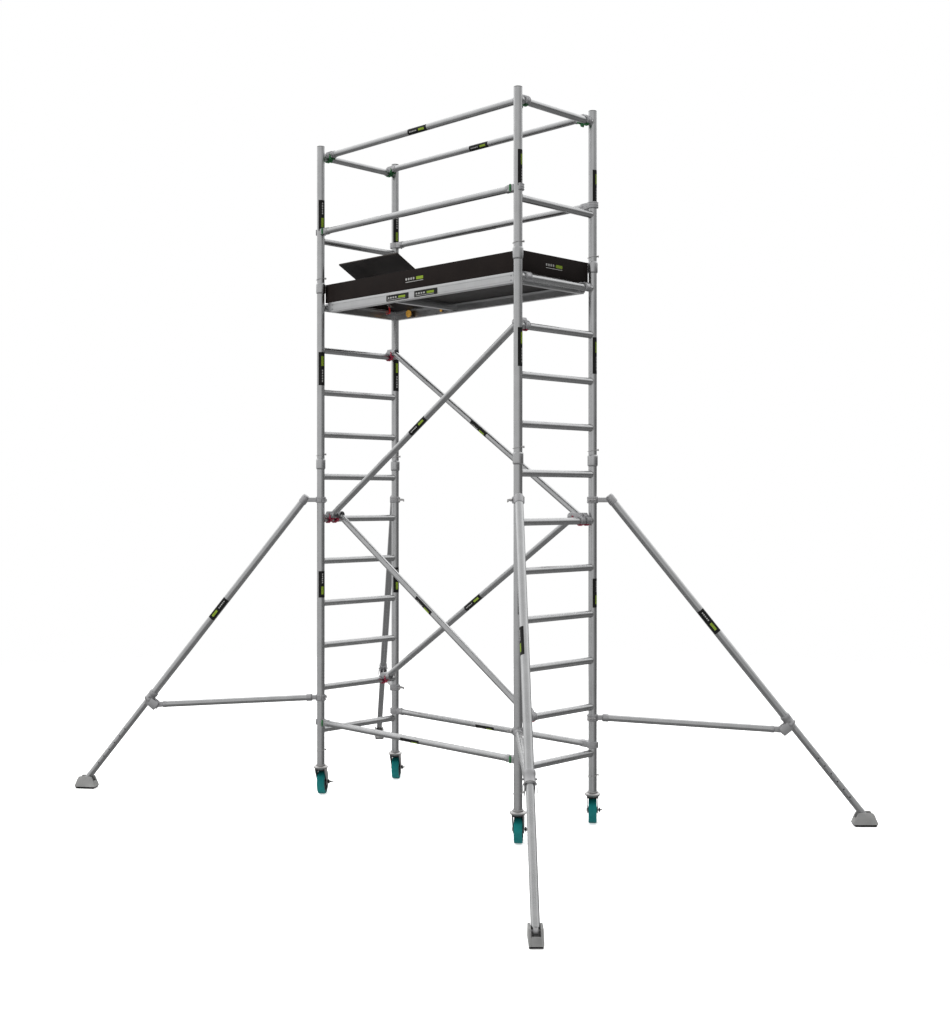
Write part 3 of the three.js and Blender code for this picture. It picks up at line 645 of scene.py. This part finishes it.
def brace(name, ends, radius, rise, look, label_angle):
    """Two claws and their tube. ends are two (claw's place, tube's end). No look means push strips."""
    piece = Piece()
    (left, start), (right, end) = ends
    piece.use(ALUMINIUM).tube(start, end, BRACE_R, BRACE_WALL, 36)
    claw(piece, left, radius, rise)
    claw(piece, right, radius, rise)
    piece.make(name + "_tube", "tower", [name])
    catches = Piece()
    for place in (left, right):
        if look:
            trigger(catches, place, radius, rise, look)
        else:
            push_strip(catches, place, radius)
    catches.make(name + "_triggers", "tower")
    labels = Piece()
    halfway = (Vector(end) - Vector(start)).length / 2
    sticker(labels, between(start, end), BRACE_R, label_angle, halfway - 84, halfway + 84)
    labels.make(name + "_labels", "tower")


def level_brace(name, face, z, label_angle):
    reach = HALF_LENGTH - UPRIGHT_R - CLAW_BLOCK + 2
    y = face * HALF_WIDTH
    ends = [(move(s * HALF_LENGTH, y, z) @ flip(-s, -face), (s * reach, y, z)) for s in (-1, 1)]
    brace(name, ends, UPRIGHT_R, 0, None, label_angle)


def hooked_brace(name, y, left_z, right_z, rise, look):
    reach = HALF_LENGTH - RUNG_R - CLAW_BLOCK + CLAW_SEAT
    ends = [
        (move(s * HALF_LENGTH, y, z) @ flip(-s) @ STAND, (s * reach, y, z + rise))
        for s, z in ((-1, left_z), (1, right_z))
    ]
    brace(name, ends, RUNG_R, rise, look, 200)


for face_name, face in FACES:
    level_brace(f"horizontal_brace_{face_name}", face, middle("horizontal_brace_front").z, 228)
    level_brace(f"mid_guardrail_{face_name}", face, middle("mid_guardrail_front").z, 312)
    hooked_brace(f"top_guardrail_{face_name}", face * OUTER_BRACE_Y, TOP_RAIL, TOP_RAIL, 17, GREEN)
for name, y, left_rung, right_rung in (
    ("diagonal_brace_front_upper", -OUTER_BRACE_Y, 6, 10),
    ("diagonal_brace_front_lower", -INNER_BRACE_Y, 6, 2),
    ("diagonal_brace_back_upper", OUTER_BRACE_Y, 10, 6),
    ("diagonal_brace_back_lower", INNER_BRACE_Y, 2, 6),
):
    hooked_brace(name, y, rung_z(left_rung), rung_z(right_rung), 28, CRIMSON)


# ---- platform
LEDGE_Z = DECK_LOW - 0.3


def rim_ring(piece, profile):
    """A section given as (distance in from the edge, height), run round the platform with mitred corners."""
    rings = []
    for sx, sy in ((1, -1), (1, 1), (-1, 1), (-1, -1)):
        rings.append([(sx * (HALF_X - d), sy * (HALF_Y - d), z) for d, z in profile])
    piece.loft(rings, wrap=True)


def platform_rim():
    piece = Piece()
    piece.use(EXTRUDED)
    low, ledge, top = RIM_LOW, LEDGE_Z, DECK_TOP
    section = [
        (0, low + 1.5), (0.5, low + 0.5), (1.5, low),
        (29, low), (30, low + 1), (30, low + 3), (29, low + 4),
        (4, low + 4), (4, ledge - 4),
        (29, ledge - 4), (30, ledge - 3), (30, ledge - 1), (29, ledge),
        (12, ledge), (12, top - 1), (11, top),
        (1.5, top), (0.5, top - 0.5), (0, top - 1.5),
        (0, ledge - 6), (0.9, ledge - 7), (0.9, ledge - 9), (0, ledge - 10),
        (0, low + 14), (0.9, low + 13), (0.9, low + 11), (0, low + 10),
    ]
    rim_ring(piece, section)
    beam = rectangle(-16, low + 9, 16, ledge, 1.5)
    hollow = rectangle(-13, low + 12, 13, ledge - 3, 1)[::-1]
    piece.slab(beam, 2 * (HALF_Y - 4.5), move(x=HATCH_X) @ STAND, [hollow], edge=0.3, steps=1)
    rail = rectangle(HINGE_Y + 6, ledge - 3, HALF_Y - 11, top, 1)
    run = (HALF_X + HATCH_X) / 2 - 2
    piece.slab(rail, 2 * run, move(x=-HALF_X + 2 + run) @ SIDEWAYS, edge=0.5, steps=1)
    bore, outside, length = 3.4, 5, 13.7
    wall = [
        (bore, 0.3), (bore + 0.3, 0), (outside - 0.3, 0), (outside, 0.3), (outside, length - 0.3),
        (outside - 0.3, length), (bore + 0.3, length), (bore, length - 0.3),
    ]
    y, z = HINGE_Y, HINGE_Z
    foot = soften([(y + 3, z - 5), (y + 8, z - 5), (y + 8, z), (y + 4, z)], 0.6)
    for x in KNUCKLES:
        for side in (-1, 1):
            near, far = x + side * 30.3, x + side * 44
            piece.use(EXTRUDED).lathe(wall, between((near, y, z), (far, y, z)), 20, wrap=True)
            piece.slab(foot, length, move(x=(near + far) / 2) @ SIDEWAYS, edge=0.3, steps=1)
    piece.use(STEEL)
    for face in (-1, 1):
        for x in (-HALF_X + 40, HATCH_X, HALF_X - 40):
            for z in (low + 18, low + 44):
                rivet = between((x, face * (HALF_Y - 0.5), z), (x, face * (HALF_Y + 5), z))
                piece.lathe([(0, 0), (4.4, 0), (4.4, 0.9), (3.6, 1.9), (2, 2.5), (0, 2.7)], rivet, 16)
    piece.make("platform_rim", "tower", ["platform_frame"])


def platform_hook(name, side, y):
    """A cast hook over the top rung, with its stiffening ribs and bolts."""
    place = move(side * HALF_LENGTH, y, rung_z(11)) @ flip(side) @ STAND
    inside = RUNG_R + 0.3
    outside = inside + 9
    reach = HALF_LENGTH - HALF_X + 2
    outline = [(-reach, -26), (-inside - 1, -26), (-inside, -20)]
    outline += arc(inside, 180, -30, 30)
    outline += arc(4.5, 150, 330, 6, *arc((inside + outside) / 2, -30, -30, 1)[0])[1:-1]
    outline += arc(outside, -30, 92, 22)
    outline += [(-reach + 8, outside - 0.5), (-reach + 2, outside - 3), (-reach, outside - 8)]
    piece = Piece()
    piece.use(CAST).slab(outline, 48, place, edge=2.6, steps=3)
    rib = arc(outside + 2.4, -20, 100, 18) + [(-reach + 10, outside + 1.4), (-reach + 6, outside - 4)]
    rib += arc(inside + 3, 100, -20, 18)
    for z in (-18, 18):
        piece.slab(rib, 4, place @ move(z=z), edge=1)
    piece.use(STEEL)
    for sign in (-1, 1):
        head = place @ between((-reach + 12, -2, sign * 23), (-reach + 12, -2, sign * 30))
        piece.lathe([(0, 0), (5.5, 0), (5.5, 1.8), (4.6, 3.2), (0, 3.6)], head, 18)
    piece.make(name, "tower", ())


def board(piece, low, high):
    """A film-faced panel whose edges show the sealed ply."""
    (x0, y0, z0), (x1, y1, z1) = low, high
    piece.use(DECK).block(low, high, corner=3, edge=0.9)
    outline = rectangle(x0, y0, x1, y1, 3)
    bulge = inset(outline, -0.15)
    levels = ((outline, z0 + 1.4), (bulge, z0 + 1.6), (bulge, z1 - 1.6), (outline, z1 - 1.4))
    piece.use(BOARD_EDGE).loft([[(x, y, z) for x, y in ring] for ring, z in levels])


def platform_panels():
    piece = Piece()
    edge = HALF_Y - 12.3
    board(piece, (HATCH_X + 1.5, -edge, DECK_LOW), (HALF_X - 12.3, edge, DECK_TOP))
    piece.use(STEEL)
    for x in (HATCH_X + 20, 140, 480, HALF_X - 40):
        for y in (-edge + 16, edge - 16):
            piece.lathe([(0, 0), (6, 0), (6, 0.5), (4.4, 1), (0, 1)], move(x, y, DECK_TOP - 0.3), 16)
    piece.make("deck_panel", "tower", ["platform_deck"])


OPEN_DOOR = move(y=HINGE_Y, z=HINGE_Z) @ turn(-TRAPDOOR_OPEN, "X") @ move(y=-HINGE_Y, z=-HINGE_Z)


def trapdoor():
    """Drawn closed and swung up to its place at rest."""
    piece = Piece(OPEN_DOOR)
    low, high = DECK_LOW, DECK_TOP
    board(piece, (-HALF_X + 14, -HALF_Y + 13, low), (HATCH_X - 1.5, HINGE_Y - 6, high))
    for x in KNUCKLES:
        piece.use(ZINC).bar((x - 30, HINGE_Y, HINGE_Z), (x + 30, HINGE_Y, HINGE_Z), 5, 20)
        piece.bar((x - 42, HINGE_Y, HINGE_Z), (x + 42, HINGE_Y, HINGE_Z), 3, 16)
        leaf = rectangle(x - 30, HINGE_Y - 42, x + 30, HINGE_Y - 2, 6)
        piece.slab(leaf, 2, move(z=high + 0.2), edge=0.5)
        piece.use(STEEL)
        for dx in (-20, 0, 20):
            piece.lathe([(0, 0), (4.5, 0), (4, 1.4), (0, 2)], move(x + dx, HINGE_Y - 30, high + 1), 14)
    x, y = LATCH_X, LATCH_Y
    pin_z = low - LATCH_DROP
    ear = [(-7, low + 0.5), (-7, pin_z), (-4, pin_z - 5), (4, pin_z - 5), (7, pin_z), (7, low + 0.5)]
    for side in (-1, 1):
        piece.use(ZINC).slab(soften(ear, 2)[::-1], 3.6, move(x + side * 6.6, y) @ SIDEWAYS, edge=0.5)
    piece.bar((x - 9.5, y, pin_z), (x + 9.5, y, pin_z), 3, 14)
    piece.slab(rectangle(x - 16, y - 22, x + 16, y + 22, 5), 1.6, move(z=low - 0.7), edge=0.5)
    piece.use(BLACK_PLASTIC_AND_SHADE)
    grip = rectangle(-600, -HALF_Y + 40, -520, -HALF_Y + 66, 12)
    piece.slab(grip, 1.6, move(z=high + 0.2), edge=0.6)
    piece.make("trapdoor_panel", "trapdoor", ["trapdoor"])


def latch():
    """The catch lever hanging from its pin under the trapdoor, with a pull ring."""
    pin = OPEN_DOOR @ Vector((LATCH_X, LATCH_Y, DECK_LOW - LATCH_DROP))
    piece = Piece(move(*pin) @ SIDEWAYS)
    outline = arc(8, -20, 200, 16)
    outline += [(-5, -12), (-4.5, -36), (-20, -38), (-20, -43), (-3, -44), (3, -43), (5, -36), (6, -12)]
    piece.use(RED).slab(outline, 7, Matrix(), [arc(3.3, 360, 18, 19)], edge=1.2)
    piece.wire(circle(11, 0, 28), 1.6, move(-21, -40), closed=True)
    piece.make("trapdoor_latch_lever", "trapdoor_latch", ["trapdoor_latch"])


def knob(name, x, z, radius):
    """A scalloped knob on a stub inside the back beam."""
    piece = Piece(between((x, HALF_Y + 1, z), (x, HALF_Y - 35, z)))
    piece.use(STEEL).lathe(rectangle(0, 4, 7, 24), sides=20)
    profile = [(0.86, 23), (0.97, 24.5), (1, 27), (1, 31), (0.95, 33.5), (0.82, 34.5), (0.3, 35.5)]
    angles = [math.pi * k / 24 for k in range(48)]
    rings = [[(0, 0, 23)]]
    for share, depth in profile:
        radii = [radius * share * (1 - 0.035 * (1 + math.cos(8 * a))) for a in angles]
        rings.append([(r * math.cos(a), r * math.sin(a), depth) for r, a in zip(radii, angles)])
    piece.use(ORANGE).loft([*rings, [(0, 0, 35.5)]])
    piece.make(name, "tower")


def facing_out(face):
    """Stands what is drawn in XY so that it is read from the front or from the back."""
    return turn(0 if face < 0 else 180, "Z") @ STAND


def toe_board(name, face, across):
    """A board on edge with a plain mark on its outer face."""
    low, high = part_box(name)
    shift = Vector((TOWER_X, 0, 0))
    low, high = low / MM - shift, high / MM - shift
    level = move(z=(low.z + high.z) / 2)
    piece = Piece()
    piece.use(TOE_BOARD).block(low, high, corner=2, edge=1.6)
    outer = high if face > 0 else low
    if across:
        mark = level @ move(x=outer.x) @ turn(90 * face, "Z") @ STAND
    else:
        mark = level @ move(y=outer.y) @ facing_out(face)
    plaque(piece, mark @ move(z=-0.2), 190 if across else 212, 62, backed=False)
    piece.make(name + "_panel", "tower", [name])


platform_rim()
for side_name, side in SIDES:
    for face_name, face in FACES:
        platform_hook(f"platform_hook_{face_name}_{side_name}", side, face * HOOK_Y)
    toe_board(f"toe_board_{side_name}", side, True)
for face_name, face in FACES:
    toe_board(f"toe_board_{face_name}", face, False)
platform_panels()
trapdoor()
latch()
BEAM_Z = (RIM_LOW + LEDGE_Z) / 2
knob("orange_knob", -690, BEAM_Z + 6, 27)
knob("orange_button", -368, BEAM_Z - 4, 11)
beam_labels = Piece()
for face in (-1, 1):
    for x in (-165, 95):
        plaque(beam_labels, move(x, face * HALF_Y, BEAM_Z) @ facing_out(face), 215, 45)
beam_labels.make("platform_labels", "tower")


# ---- castors
def castor(corner, sx, sy):
    place = move(sx * HALF_LENGTH, sy * HALF_WIDTH) @ turn(CASTOR_AZIMUTH, "Z")
    stem = Piece(place)
    profile = [
        (0, 172), (13, 172), (14.6, 173), (14.6, 177.5), (9, 177.5), (9, 199.5), (31, 199.5), (32, 200.5),
        (32, 205.7), (31, 206.7), (20, 206.7), (20, 325), (19, 326), (16.5, 326), (16.5, 214), (0, 214),
    ]
    stem.use(ZINC).lathe(profile, sides=40)
    stem.make(f"castor_stem_{corner}_fitting", "tower", [f"castor_stem_{corner}"])

    fork = Piece(place)
    crown = [
        (9.4, 178.6), (36, 178.6), (42, 180), (47.5, 187), (49, 190), (48.4, 192), (44, 195.6), (34, 198.2),
        (26, 199), (9.4, 199),
    ]
    fork.use(ZINC).lathe(crown, sides=48, wrap=True)
    root = 181
    cheek = [(-34, root), (-30, 168), (TRAIL - 25, AXLE_Z + 8)]
    cheek += arc(24, 172, 368, 20, TRAIL, AXLE_Z)
    cheek += [(TRAIL + 22, AXLE_Z + 22), (45, 168), (42, root)]
    raised = [(x * 0.86 + TRAIL * 0.14, z * 0.86 + (AXLE_Z + 30) * 0.14) for x, z in cheek]
    for side in (-1, 1):
        lean = move(y=side * 32.5, z=root) @ turn(-1.2 * side, "X") @ move(z=-root)
        fork.slab(cheek, 4, lean @ STAND)
        fork.slab(raised, 1.6, lean @ move(y=side * 2.2) @ STAND, edge=0.7)
    # A black curved sheet over the top of the tyre between the fork cheeks: painted shade for the shadowed
    # tyre top and the gap beside the cheeks.
    guard = arc(87, 92, 116, 10, TRAIL, AXLE_Z) + arc(84.5, 116, 92, 10, TRAIL, AXLE_Z)
    fork.use(BLACK_PLASTIC_AND_SHADE).slab(guard, 61, STAND, edge=0.6, steps=1)
    fork.use(ZINC)
    fork.bar((TRAIL, -32, AXLE_Z), (TRAIL, 34, AXLE_Z), 8, 24)
    fork.hexagon((TRAIL, 32.6, AXLE_Z), (0, 1, 0), 19, 5)
    fork.use(STEEL).bar((TRAIL, -49, AXLE_Z), (TRAIL, -31, AXLE_Z), 6, 20)
    fork.make(f"castor_fork_{corner}_body", f"castor_{corner}", [f"castor_fork_{corner}"])

    axle = place @ move(x=TRAIL, z=AXLE_Z) @ turn(90, "X")
    tyre = Piece(axle)
    tread = [(62, -24.5), (71, -25), (76, -24.2), (78.4, -22.5), (79.5, -19.5), (WHEEL_R, -12)]
    tyre.use(TEAL).lathe([(60, -16), *mirrored(tread), (60, 16)], sides=64, wrap=True)
    tyre.make(f"castor_tyre_{corner}", f"wheel_{corner}", [f"castor_wheel_{corner}"])
    hub = Piece(axle)
    rim = [(8.4, -26.4), (20, -26.8), (21.5, -25.4), (22, -12), (55, -10), (57, -23), (58, -24.4)]
    rim.append((62.4, -24.4))
    hub.use(HUB).lathe(mirrored(rim), sides=48, wrap=True)
    web = soften([(20, -2.6), (58, -1.9), (58, 1.9), (20, 2.6)], 0.8)
    for k in range(8):
        for side in (-1, 1):
            hub.slab(web, 13, turn(45 * k, "Z") @ move(z=side * 15.5), edge=0.8)
    hub.use(ZINC)
    for side in (-1, 1):
        hub.lathe([(8.4, 26), (17, 26), (17, 27.4), (15, 28), (8.4, 28)], flip(z=side), wrap=True)
    hub.make(f"castor_hub_{corner}", f"wheel_{corner}", ())

    brake = Piece(place @ move(x=TRAIL, z=AXLE_Z) @ turn(12, "Y") @ STAND)
    outline = arc(13.5, 40, 320, 20) + [(30, -6.5), (76, -4.5), (83, -2), (84, 3), (78, 5), (30, 6)]
    brake.use(BLACK_PLASTIC_AND_SHADE).slab(outline, 8.4, move(z=41), [arc(6.4, 360, 18, 19)], edge=1.6)
    pedal = soften([(52, 36.5), (84, 36.5), (84, 56), (80, 60), (56, 60), (52, 56)], 5)
    flat = STAND @ flip(z=-1)
    brake.slab(pedal, 5, flat, edge=1.8)
    for k in range(4):
        x = 57 + 7 * k
        brake.slab(rectangle(x, 40, x + 3, 57, 1), 2, flat @ move(z=2.8), edge=0.5)
    brake.use(ZINC).hexagon((0, 0, 45), (0, 0, 1), 15, 4)
    brake.make(f"castor_brake_{corner}_lever", f"brake_{corner}", [f"castor_brake_{corner}"])


# ---- stabilizers
LEG = Vector((1, 0, -LEG_SLOPE)).normalized()


def leg_point(t):
    return Vector((t, 0, LEG_Z - LEG_SLOPE * (t - LEG_T)))


PIN = leg_point(FOOT_T)


def coupler(piece, z, lug_end):
    """A hinged tube clamp with its bolt, wing nut and a lug for what it holds."""
    outside = UPRIGHT_R + 9.4
    end = lug_end
    lug = [(30, -12.5), (end - 2, -12.5), (end, -10.5), (end, 10.5), (end - 2, 12.5), (30, 12.5)]
    bore = arc(UPRIGHT_R + 0.5, 360, 9, 39)
    piece.use(CAST).slab(arc(outside - 2, 0, 351, 39), 40, move(z=z), [bore], edge=2.2, steps=3)
    piece.slab(lug, 29, move(z=z), edge=3, steps=3)
    for side in (-1, 1):
        band = arc(outside + 0.4, 60, 300, 30) + arc(outside - 4, 300, 60, 30)
        piece.slab(band, 5, move(z=z + side * 12), edge=1)
    piece.bar((-8, 31, z - 19), (-8, 31, z + 19), 6.5, 20)
    piece.use(ZINC).bar((-8, 31, z - 21.5), (-8, 31, z + 21.5), 3.6, 14)
    piece.use(CAST).slab(rectangle(-14, -46, 4, -29, 3), 16, move(z=z), edge=1.6)
    piece.use(ZINC).bar((-24, -40, z), (14, -40, z), 4, 16)
    piece.hexagon((4, -40, z), (1, 0, 0), 13, 6)
    piece.hexagon((-14, -40, z), (-1, 0, 0), 14, 8)
    half = [(-7, -4), (-17, -13), (-21, -12), (-19, 4), (-7, 6)]
    wing = half + [(-x, y) for x, y in reversed(half)]
    piece.slab(soften(wing[::-1], 2.5)[::-1], 3.4, move(-25, -40, z) @ SIDEWAYS, edge=1)


def stabilizer(corner, sx, sy, azimuth, label_angle):
    place = move(sx * HALF_LENGTH, sy * HALF_WIDTH) @ turn(azimuth, "Z")
    top, bottom = leg_point(LEG_T - 4), leg_point(COLLAR_T)
    swinging, sliding = f"stabilizer_{corner}", f"leg_{corner}"
    outer = Piece(place)
    outer.use(ALUMINIUM).tube(top, bottom, OUTER_R, 2.6, 40)
    coupler(outer, CLAMP_Z, LEG_T)
    sleeve = [(OUTER_R - 0.2, 0), (26.6, 1), (27, 4), (27, 46), (26.4, 49), (OUTER_R - 0.2, 50)]
    outer.use(CAST).lathe(sleeve, between(top + LEG * 4, bottom), 36, wrap=True)
    cap = [(0, -4), (19, -4), (23.2, -3), (23.9, -1), (23.9, 0.2), (20.8, 0.4), (20.8, 22), (0, 22)]
    outer.lathe(cap, between(top, bottom), 36)
    collar_top, collar_end = leg_point(COLLAR_T - 38), leg_point(COLLAR_T + 8)
    collar = between(collar_top, collar_end)
    span = (collar_end - collar_top).length
    profile = [
        (21.6, 0.6), (27, 0), (29, 1.2), (29.8, 4), (29.8, 22), (28.6, 25), (28.6, span - 16),
        (29.8, span - 13), (29.8, span - 2), (28.6, span), (21.6, span),
    ]
    outer.use(CAST).lathe(profile, collar, 44, wrap=True)
    outer.use(STEEL).bar(collar @ Vector((-36, 0, span - 30)), collar @ Vector((36, 0, span - 30)), 5, 18)
    bail = [(x, y, span + 4 - y * 12 / 33) for x, y in arc(33, 0, 180, 18)]
    hanging = [(34, -4, span + 42), (34, -3, span + 22)]
    bail = hanging + bail + [(-x, y, z) for x, y, z in hanging[::-1]]
    outer.use(ZINC).wire(bail, 1.9, collar)
    bracket = [
        (ARM_T - 8, ARM_Z - 17), leg_point(COLLAR_T + 4).xz, leg_point(COLLAR_T - 30).xz,
        (ARM_T - 12, ARM_Z + 14), *arc(19, 135, 245, 10, ARM_T, ARM_Z),
    ]
    hole = arc(6.4, 360, 18, 19, ARM_T, ARM_Z)
    outer.use(CAST).slab(bracket, 9, STAND, [hole], edge=1.4)
    across = Vector((-LEG_SLOPE, 0, -1)).normalized()
    corners = ((3, -10), (3, 78), (59, 78), (59, -10))
    plate = [(leg_point(COLLAR_T - 15) + LEG * a + across * b).xz for a, b in corners]
    for side in (-1, 1):
        outer.slab(soften(plate, 7), 3.2, move(y=side * 23.5) @ STAND, edge=0.8)
    outer.make(f"stabilizer_outer_{corner}_tube", swinging, [f"stabilizer_outer_{corner}"])

    start, end = Vector((62, 0, ARM_CLAMP_Z)), Vector((ARM_T, 0, ARM_Z))
    arm = Piece(place)
    tube_end = end - (end - start).normalized() * 60
    arm.use(ALUMINIUM).tube(start, tube_end, BRACE_R, BRACE_WALL)
    coupler(arm, ARM_CLAMP_Z, 66)
    along = between(start, end)
    sleeve = [(BRACE_R - 0.2, -2), (22.5, -2), (23.6, 0), (23.6, 30), (22.5, 33), (BRACE_R - 0.2, 33)]
    arm.use(CAST).lathe(sleeve, along, 36, wrap=True)
    reach = (tube_end - start).length
    plug = [(0, 4), (15, 4), (20.6, 1), (21.4, -2), (21.4, -20), (20, -22), (17, -22), (0, -22)]
    arm.lathe(plug, along @ move(z=reach), 36)
    tilt = math.degrees(math.atan2(end.z - start.z, end.x - start.x))
    eye = move(*end) @ turn(-tilt, "Y")
    cheek = [(-66, -15), (-66, 15), (-40, 17)] + arc(18, 80, -80, 16) + [(-40, -17)]
    for side in (-1, 1):
        arm.slab(cheek[::-1], 5.4, eye @ move(y=side * 8.4) @ STAND, edge=1.2)
    arm.use(STEEL).bar((ARM_T, -15, ARM_Z), (ARM_T, 15, ARM_Z), 6)
    arm.hexagon((ARM_T, 10.6, ARM_Z), (0, 1, 0), 19, 7.5)
    arm.hexagon((ARM_T, -10.6, ARM_Z), (0, -1, 0), 19, 9)
    arm.make(f"stabilizer_arm_{corner}_tube", swinging, [f"stabilizer_arm_{corner}"])

    def up(distance):
        """A point on the leg's axis, above the foot's pin."""
        return PIN - LEG * distance

    visible = (FOOT_T - COLLAR_T) / LEG.x
    inner = Piece(place)
    inner.use(ALUMINIUM).tube(up(visible + 300), up(10), INNER_R, 2, 40)
    tongue = arc(19, -90, 90, 14) + [(-60, 14), (-64, 13), (-64, -13), (-60, -14)]
    lie = move(*PIN) @ turn(math.degrees(math.atan2(LEG_SLOPE, 1)), "Y") @ STAND
    inner.use(CAST).slab(tongue, 25.4, lie, [arc(7.4, 360, 18, 19)], edge=2)
    inner.lathe(rectangle(0, 0, 18.8, 8), between(up(24), up(12)), 36)
    # Round black film spots in pairs along the inner leg: painted shade standing in for its pin holes.
    inner.use(BLACK_PLASTIC_AND_SHADE)
    for k in range(6):
        spot = between(up(150 + 60 * k), up(100))
        for angle in (0, 180):
            for half_angle, reach in ((6, 4.5), (10, 3.2), (12, 1.6)):
                inner.patch(INNER_R, angle, half_angle, -reach, reach, 0.12, spot)
    inner.make(f"stabilizer_inner_{corner}_tube", sliding, [f"stabilizer_inner_{corner}"])

    foot = Piece(place)
    half = [(72, 12), (74, 17), (72, 24), (52, 70), (44, 82), (36, 84)]
    wall = soften(half + [(-x, z) for x, z in reversed(half)], 5)
    end_wall = soften([(26, 12), (71, 12), (73, 17), (71, 24), (60, 49), (52, 51), (40, 38), (26, 32)], 3)
    foot.use(FOOT_GREY)
    for side in (-1, 1):
        foot.slab(wall, 12.4, move(FOOT_T, side * 28) @ STAND, edge=3.4, steps=3)
        foot.slab(end_wall, 46, move(x=FOOT_T) @ flip(side) @ STAND, edge=1.5)
    foot.block((FOOT_T - 40, -23, 11.5), (FOOT_T + 40, 23, 30), corner=4, edge=1.5)
    foot.use(STEEL).bar((FOOT_T, -33, PIN.z), (FOOT_T, 33, PIN.z), 7, 22)
    sole = soften([(-60, 0), (60, 0), (68, 5), (68, 13.5), (-68, 13.5), (-68, 5)], 2)
    foot.use(RUBBER).slab(sole, 64, move(x=FOOT_T) @ STAND, edge=1.8)
    for k in range(7):
        x = FOOT_T - 54 + 18 * k
        foot.slab(rectangle(x - 4, -31, x + 4, 31, 2), 2.4, move(z=1.3), edge=0.5)
    foot.make(f"stabilizer_foot_{corner}_body", f"foot_{corner}", [f"stabilizer_foot_{corner}"])

    labels = Piece(place)
    sticker(labels, between(top, bottom), OUTER_R, label_angle, 880, 1050)
    labels.make(f"stabilizer_labels_{corner}", swinging)


for corner, (sx, sy, azimuth, label_angle) in CORNERS.items():
    castor(corner, sx, sy)
    stabilizer(corner, sx, sy, azimuth, label_angle)


# ---- floor, light and camera
def fading_floor():
    """A pale studio floor that thins out into the white background."""
    mesh = bpy.data.meshes.new("floor")
    bm = bmesh.new()
    bmesh.ops.create_circle(bm, cap_ends=True, radius=26, segments=96)
    bm.to_mesh(mesh)
    bm.free()
    look = bpy.data.materials.new("pale_floor")
    look.use_nodes = True
    tree = look.node_tree
    tree.nodes.clear()
    place = node(tree, "ShaderNodeTexCoord")
    distance = node(tree, "ShaderNodeVectorMath", i0=place.outputs["Object"])
    distance.operation = "LENGTH"
    fade = remap(tree, distance.outputs["Value"], 3.5, 9.0)
    speckle = node(tree, "ShaderNodeTexNoise", Vector=place.outputs["Object"], Scale=3.0)
    tone = blend(tree, speckle.outputs[0], (0.86, 0.86, 0.86), (0.9, 0.9, 0.9))
    diffuse = node(tree, "ShaderNodeBsdfDiffuse", Color=tone)
    glow = node(tree, "ShaderNodeEmission", Color=(1, 1, 1, 1), Strength=0.5)
    lit = node(tree, "ShaderNodeAddShader", i0=diffuse.outputs[0], i1=glow.outputs[0])
    clear = node(tree, "ShaderNodeBsdfTransparent")
    mix = node(tree, "ShaderNodeMixShader", i0=fade.outputs[0], i1=lit.outputs[0], i2=clear.outputs[0])
    node(tree, "ShaderNodeOutputMaterial", Surface=mix.outputs[0])
    mesh.materials.append(look)
    floor = bpy.data.objects.new("floor", mesh)
    floor.location = (TOWER_X * MM, 0, -0.0005)
    bpy.context.scene.collection.objects.link(floor)
    floor.visible_glossy = False


CAMERA_TURN = math.radians(44.87)


def studio_world():
    """White behind the object; for light and reflections bright above and to the left, dark to the right."""
    world = bpy.data.worlds.new("studio")
    bpy.context.scene.world = world
    world.use_nodes = True
    tree = world.node_tree
    tree.nodes.clear()
    place = node(tree, "ShaderNodeTexCoord").outputs["Generated"]

    def slant(direction):
        """How far a view ray points in a direction, from -1 to 1."""
        dot = node(tree, "ShaderNodeVectorMath", i0=place, i1=direction)
        dot.operation = "DOT_PRODUCT"
        return dot.outputs["Value"]

    left = (-math.cos(CAMERA_TURN), -math.sin(CAMERA_TURN), 0.0)
    away = (-math.sin(CAMERA_TURN), math.cos(CAMERA_TURN), 0.0)
    height = node(tree, "ShaderNodeSeparateXYZ", Vector=place).outputs["Z"]
    around = remap(tree, slant(left), -0.9, -0.1, 0.16, 0.8)
    overhead = remap(tree, slant(away), -0.3, 0.6, 0.72, 1.6)
    up = remap(tree, height, 0.06, 0.45)
    up.interpolation_type = "SMOOTHSTEP"
    down = remap(tree, height, -0.05, -0.4)
    sky = blend(tree, up.outputs[0], around.outputs[0], overhead.outputs[0])
    light = blend(tree, down.outputs[0], sky, 0.26)
    shine = node(tree, "ShaderNodeBackground", Strength=light)
    white = node(tree, "ShaderNodeBackground", Color=(1, 1, 1, 1), Strength=1.0)
    seen = node(tree, "ShaderNodeLightPath").outputs["Is Camera Ray"]
    mix = node(tree, "ShaderNodeMixShader", i0=seen, i1=shine.outputs[0], i2=white.outputs[0])
    node(tree, "ShaderNodeOutputWorld", Surface=mix.outputs[0])


def soft_light(name, place, aim, size, power):
    data = bpy.data.lights.new(name, "AREA")
    data.shape = "DISK"
    data.size = size
    data.energy = power
    lamp = bpy.data.objects.new(name, data)
    lamp.location = place
    lamp.rotation_euler = (Vector(aim) - Vector(place)).to_track_quat("-Z", "Y").to_euler()
    lamp.visible_glossy = False
    bpy.context.scene.collection.objects.link(lamp)


fading_floor()
studio_world()
soft_light("key", (-3.5, -9.0, 8.0), (0, 0, 2.0), 4.5, 700)
soft_light("top", (1.0, 1.5, 10.0), (0, 0, 2.0), 5.0, 450)

camera_data = bpy.data.cameras.new("camera")
camera_data.lens = 45.9
camera_data.sensor_width = 36
camera_data.shift_y = -0.0134
camera = bpy.data.objects.new("camera", camera_data)
camera.location = (5.951 + TOWER_X * MM, -5.755, 1.973)
camera.rotation_euler = (math.radians(90), 0, CAMERA_TURN)
bpy.context.scene.collection.objects.link(camera)
bpy.context.scene.camera = camera
bpy.context.scene.view_settings.view_transform = "Standard"
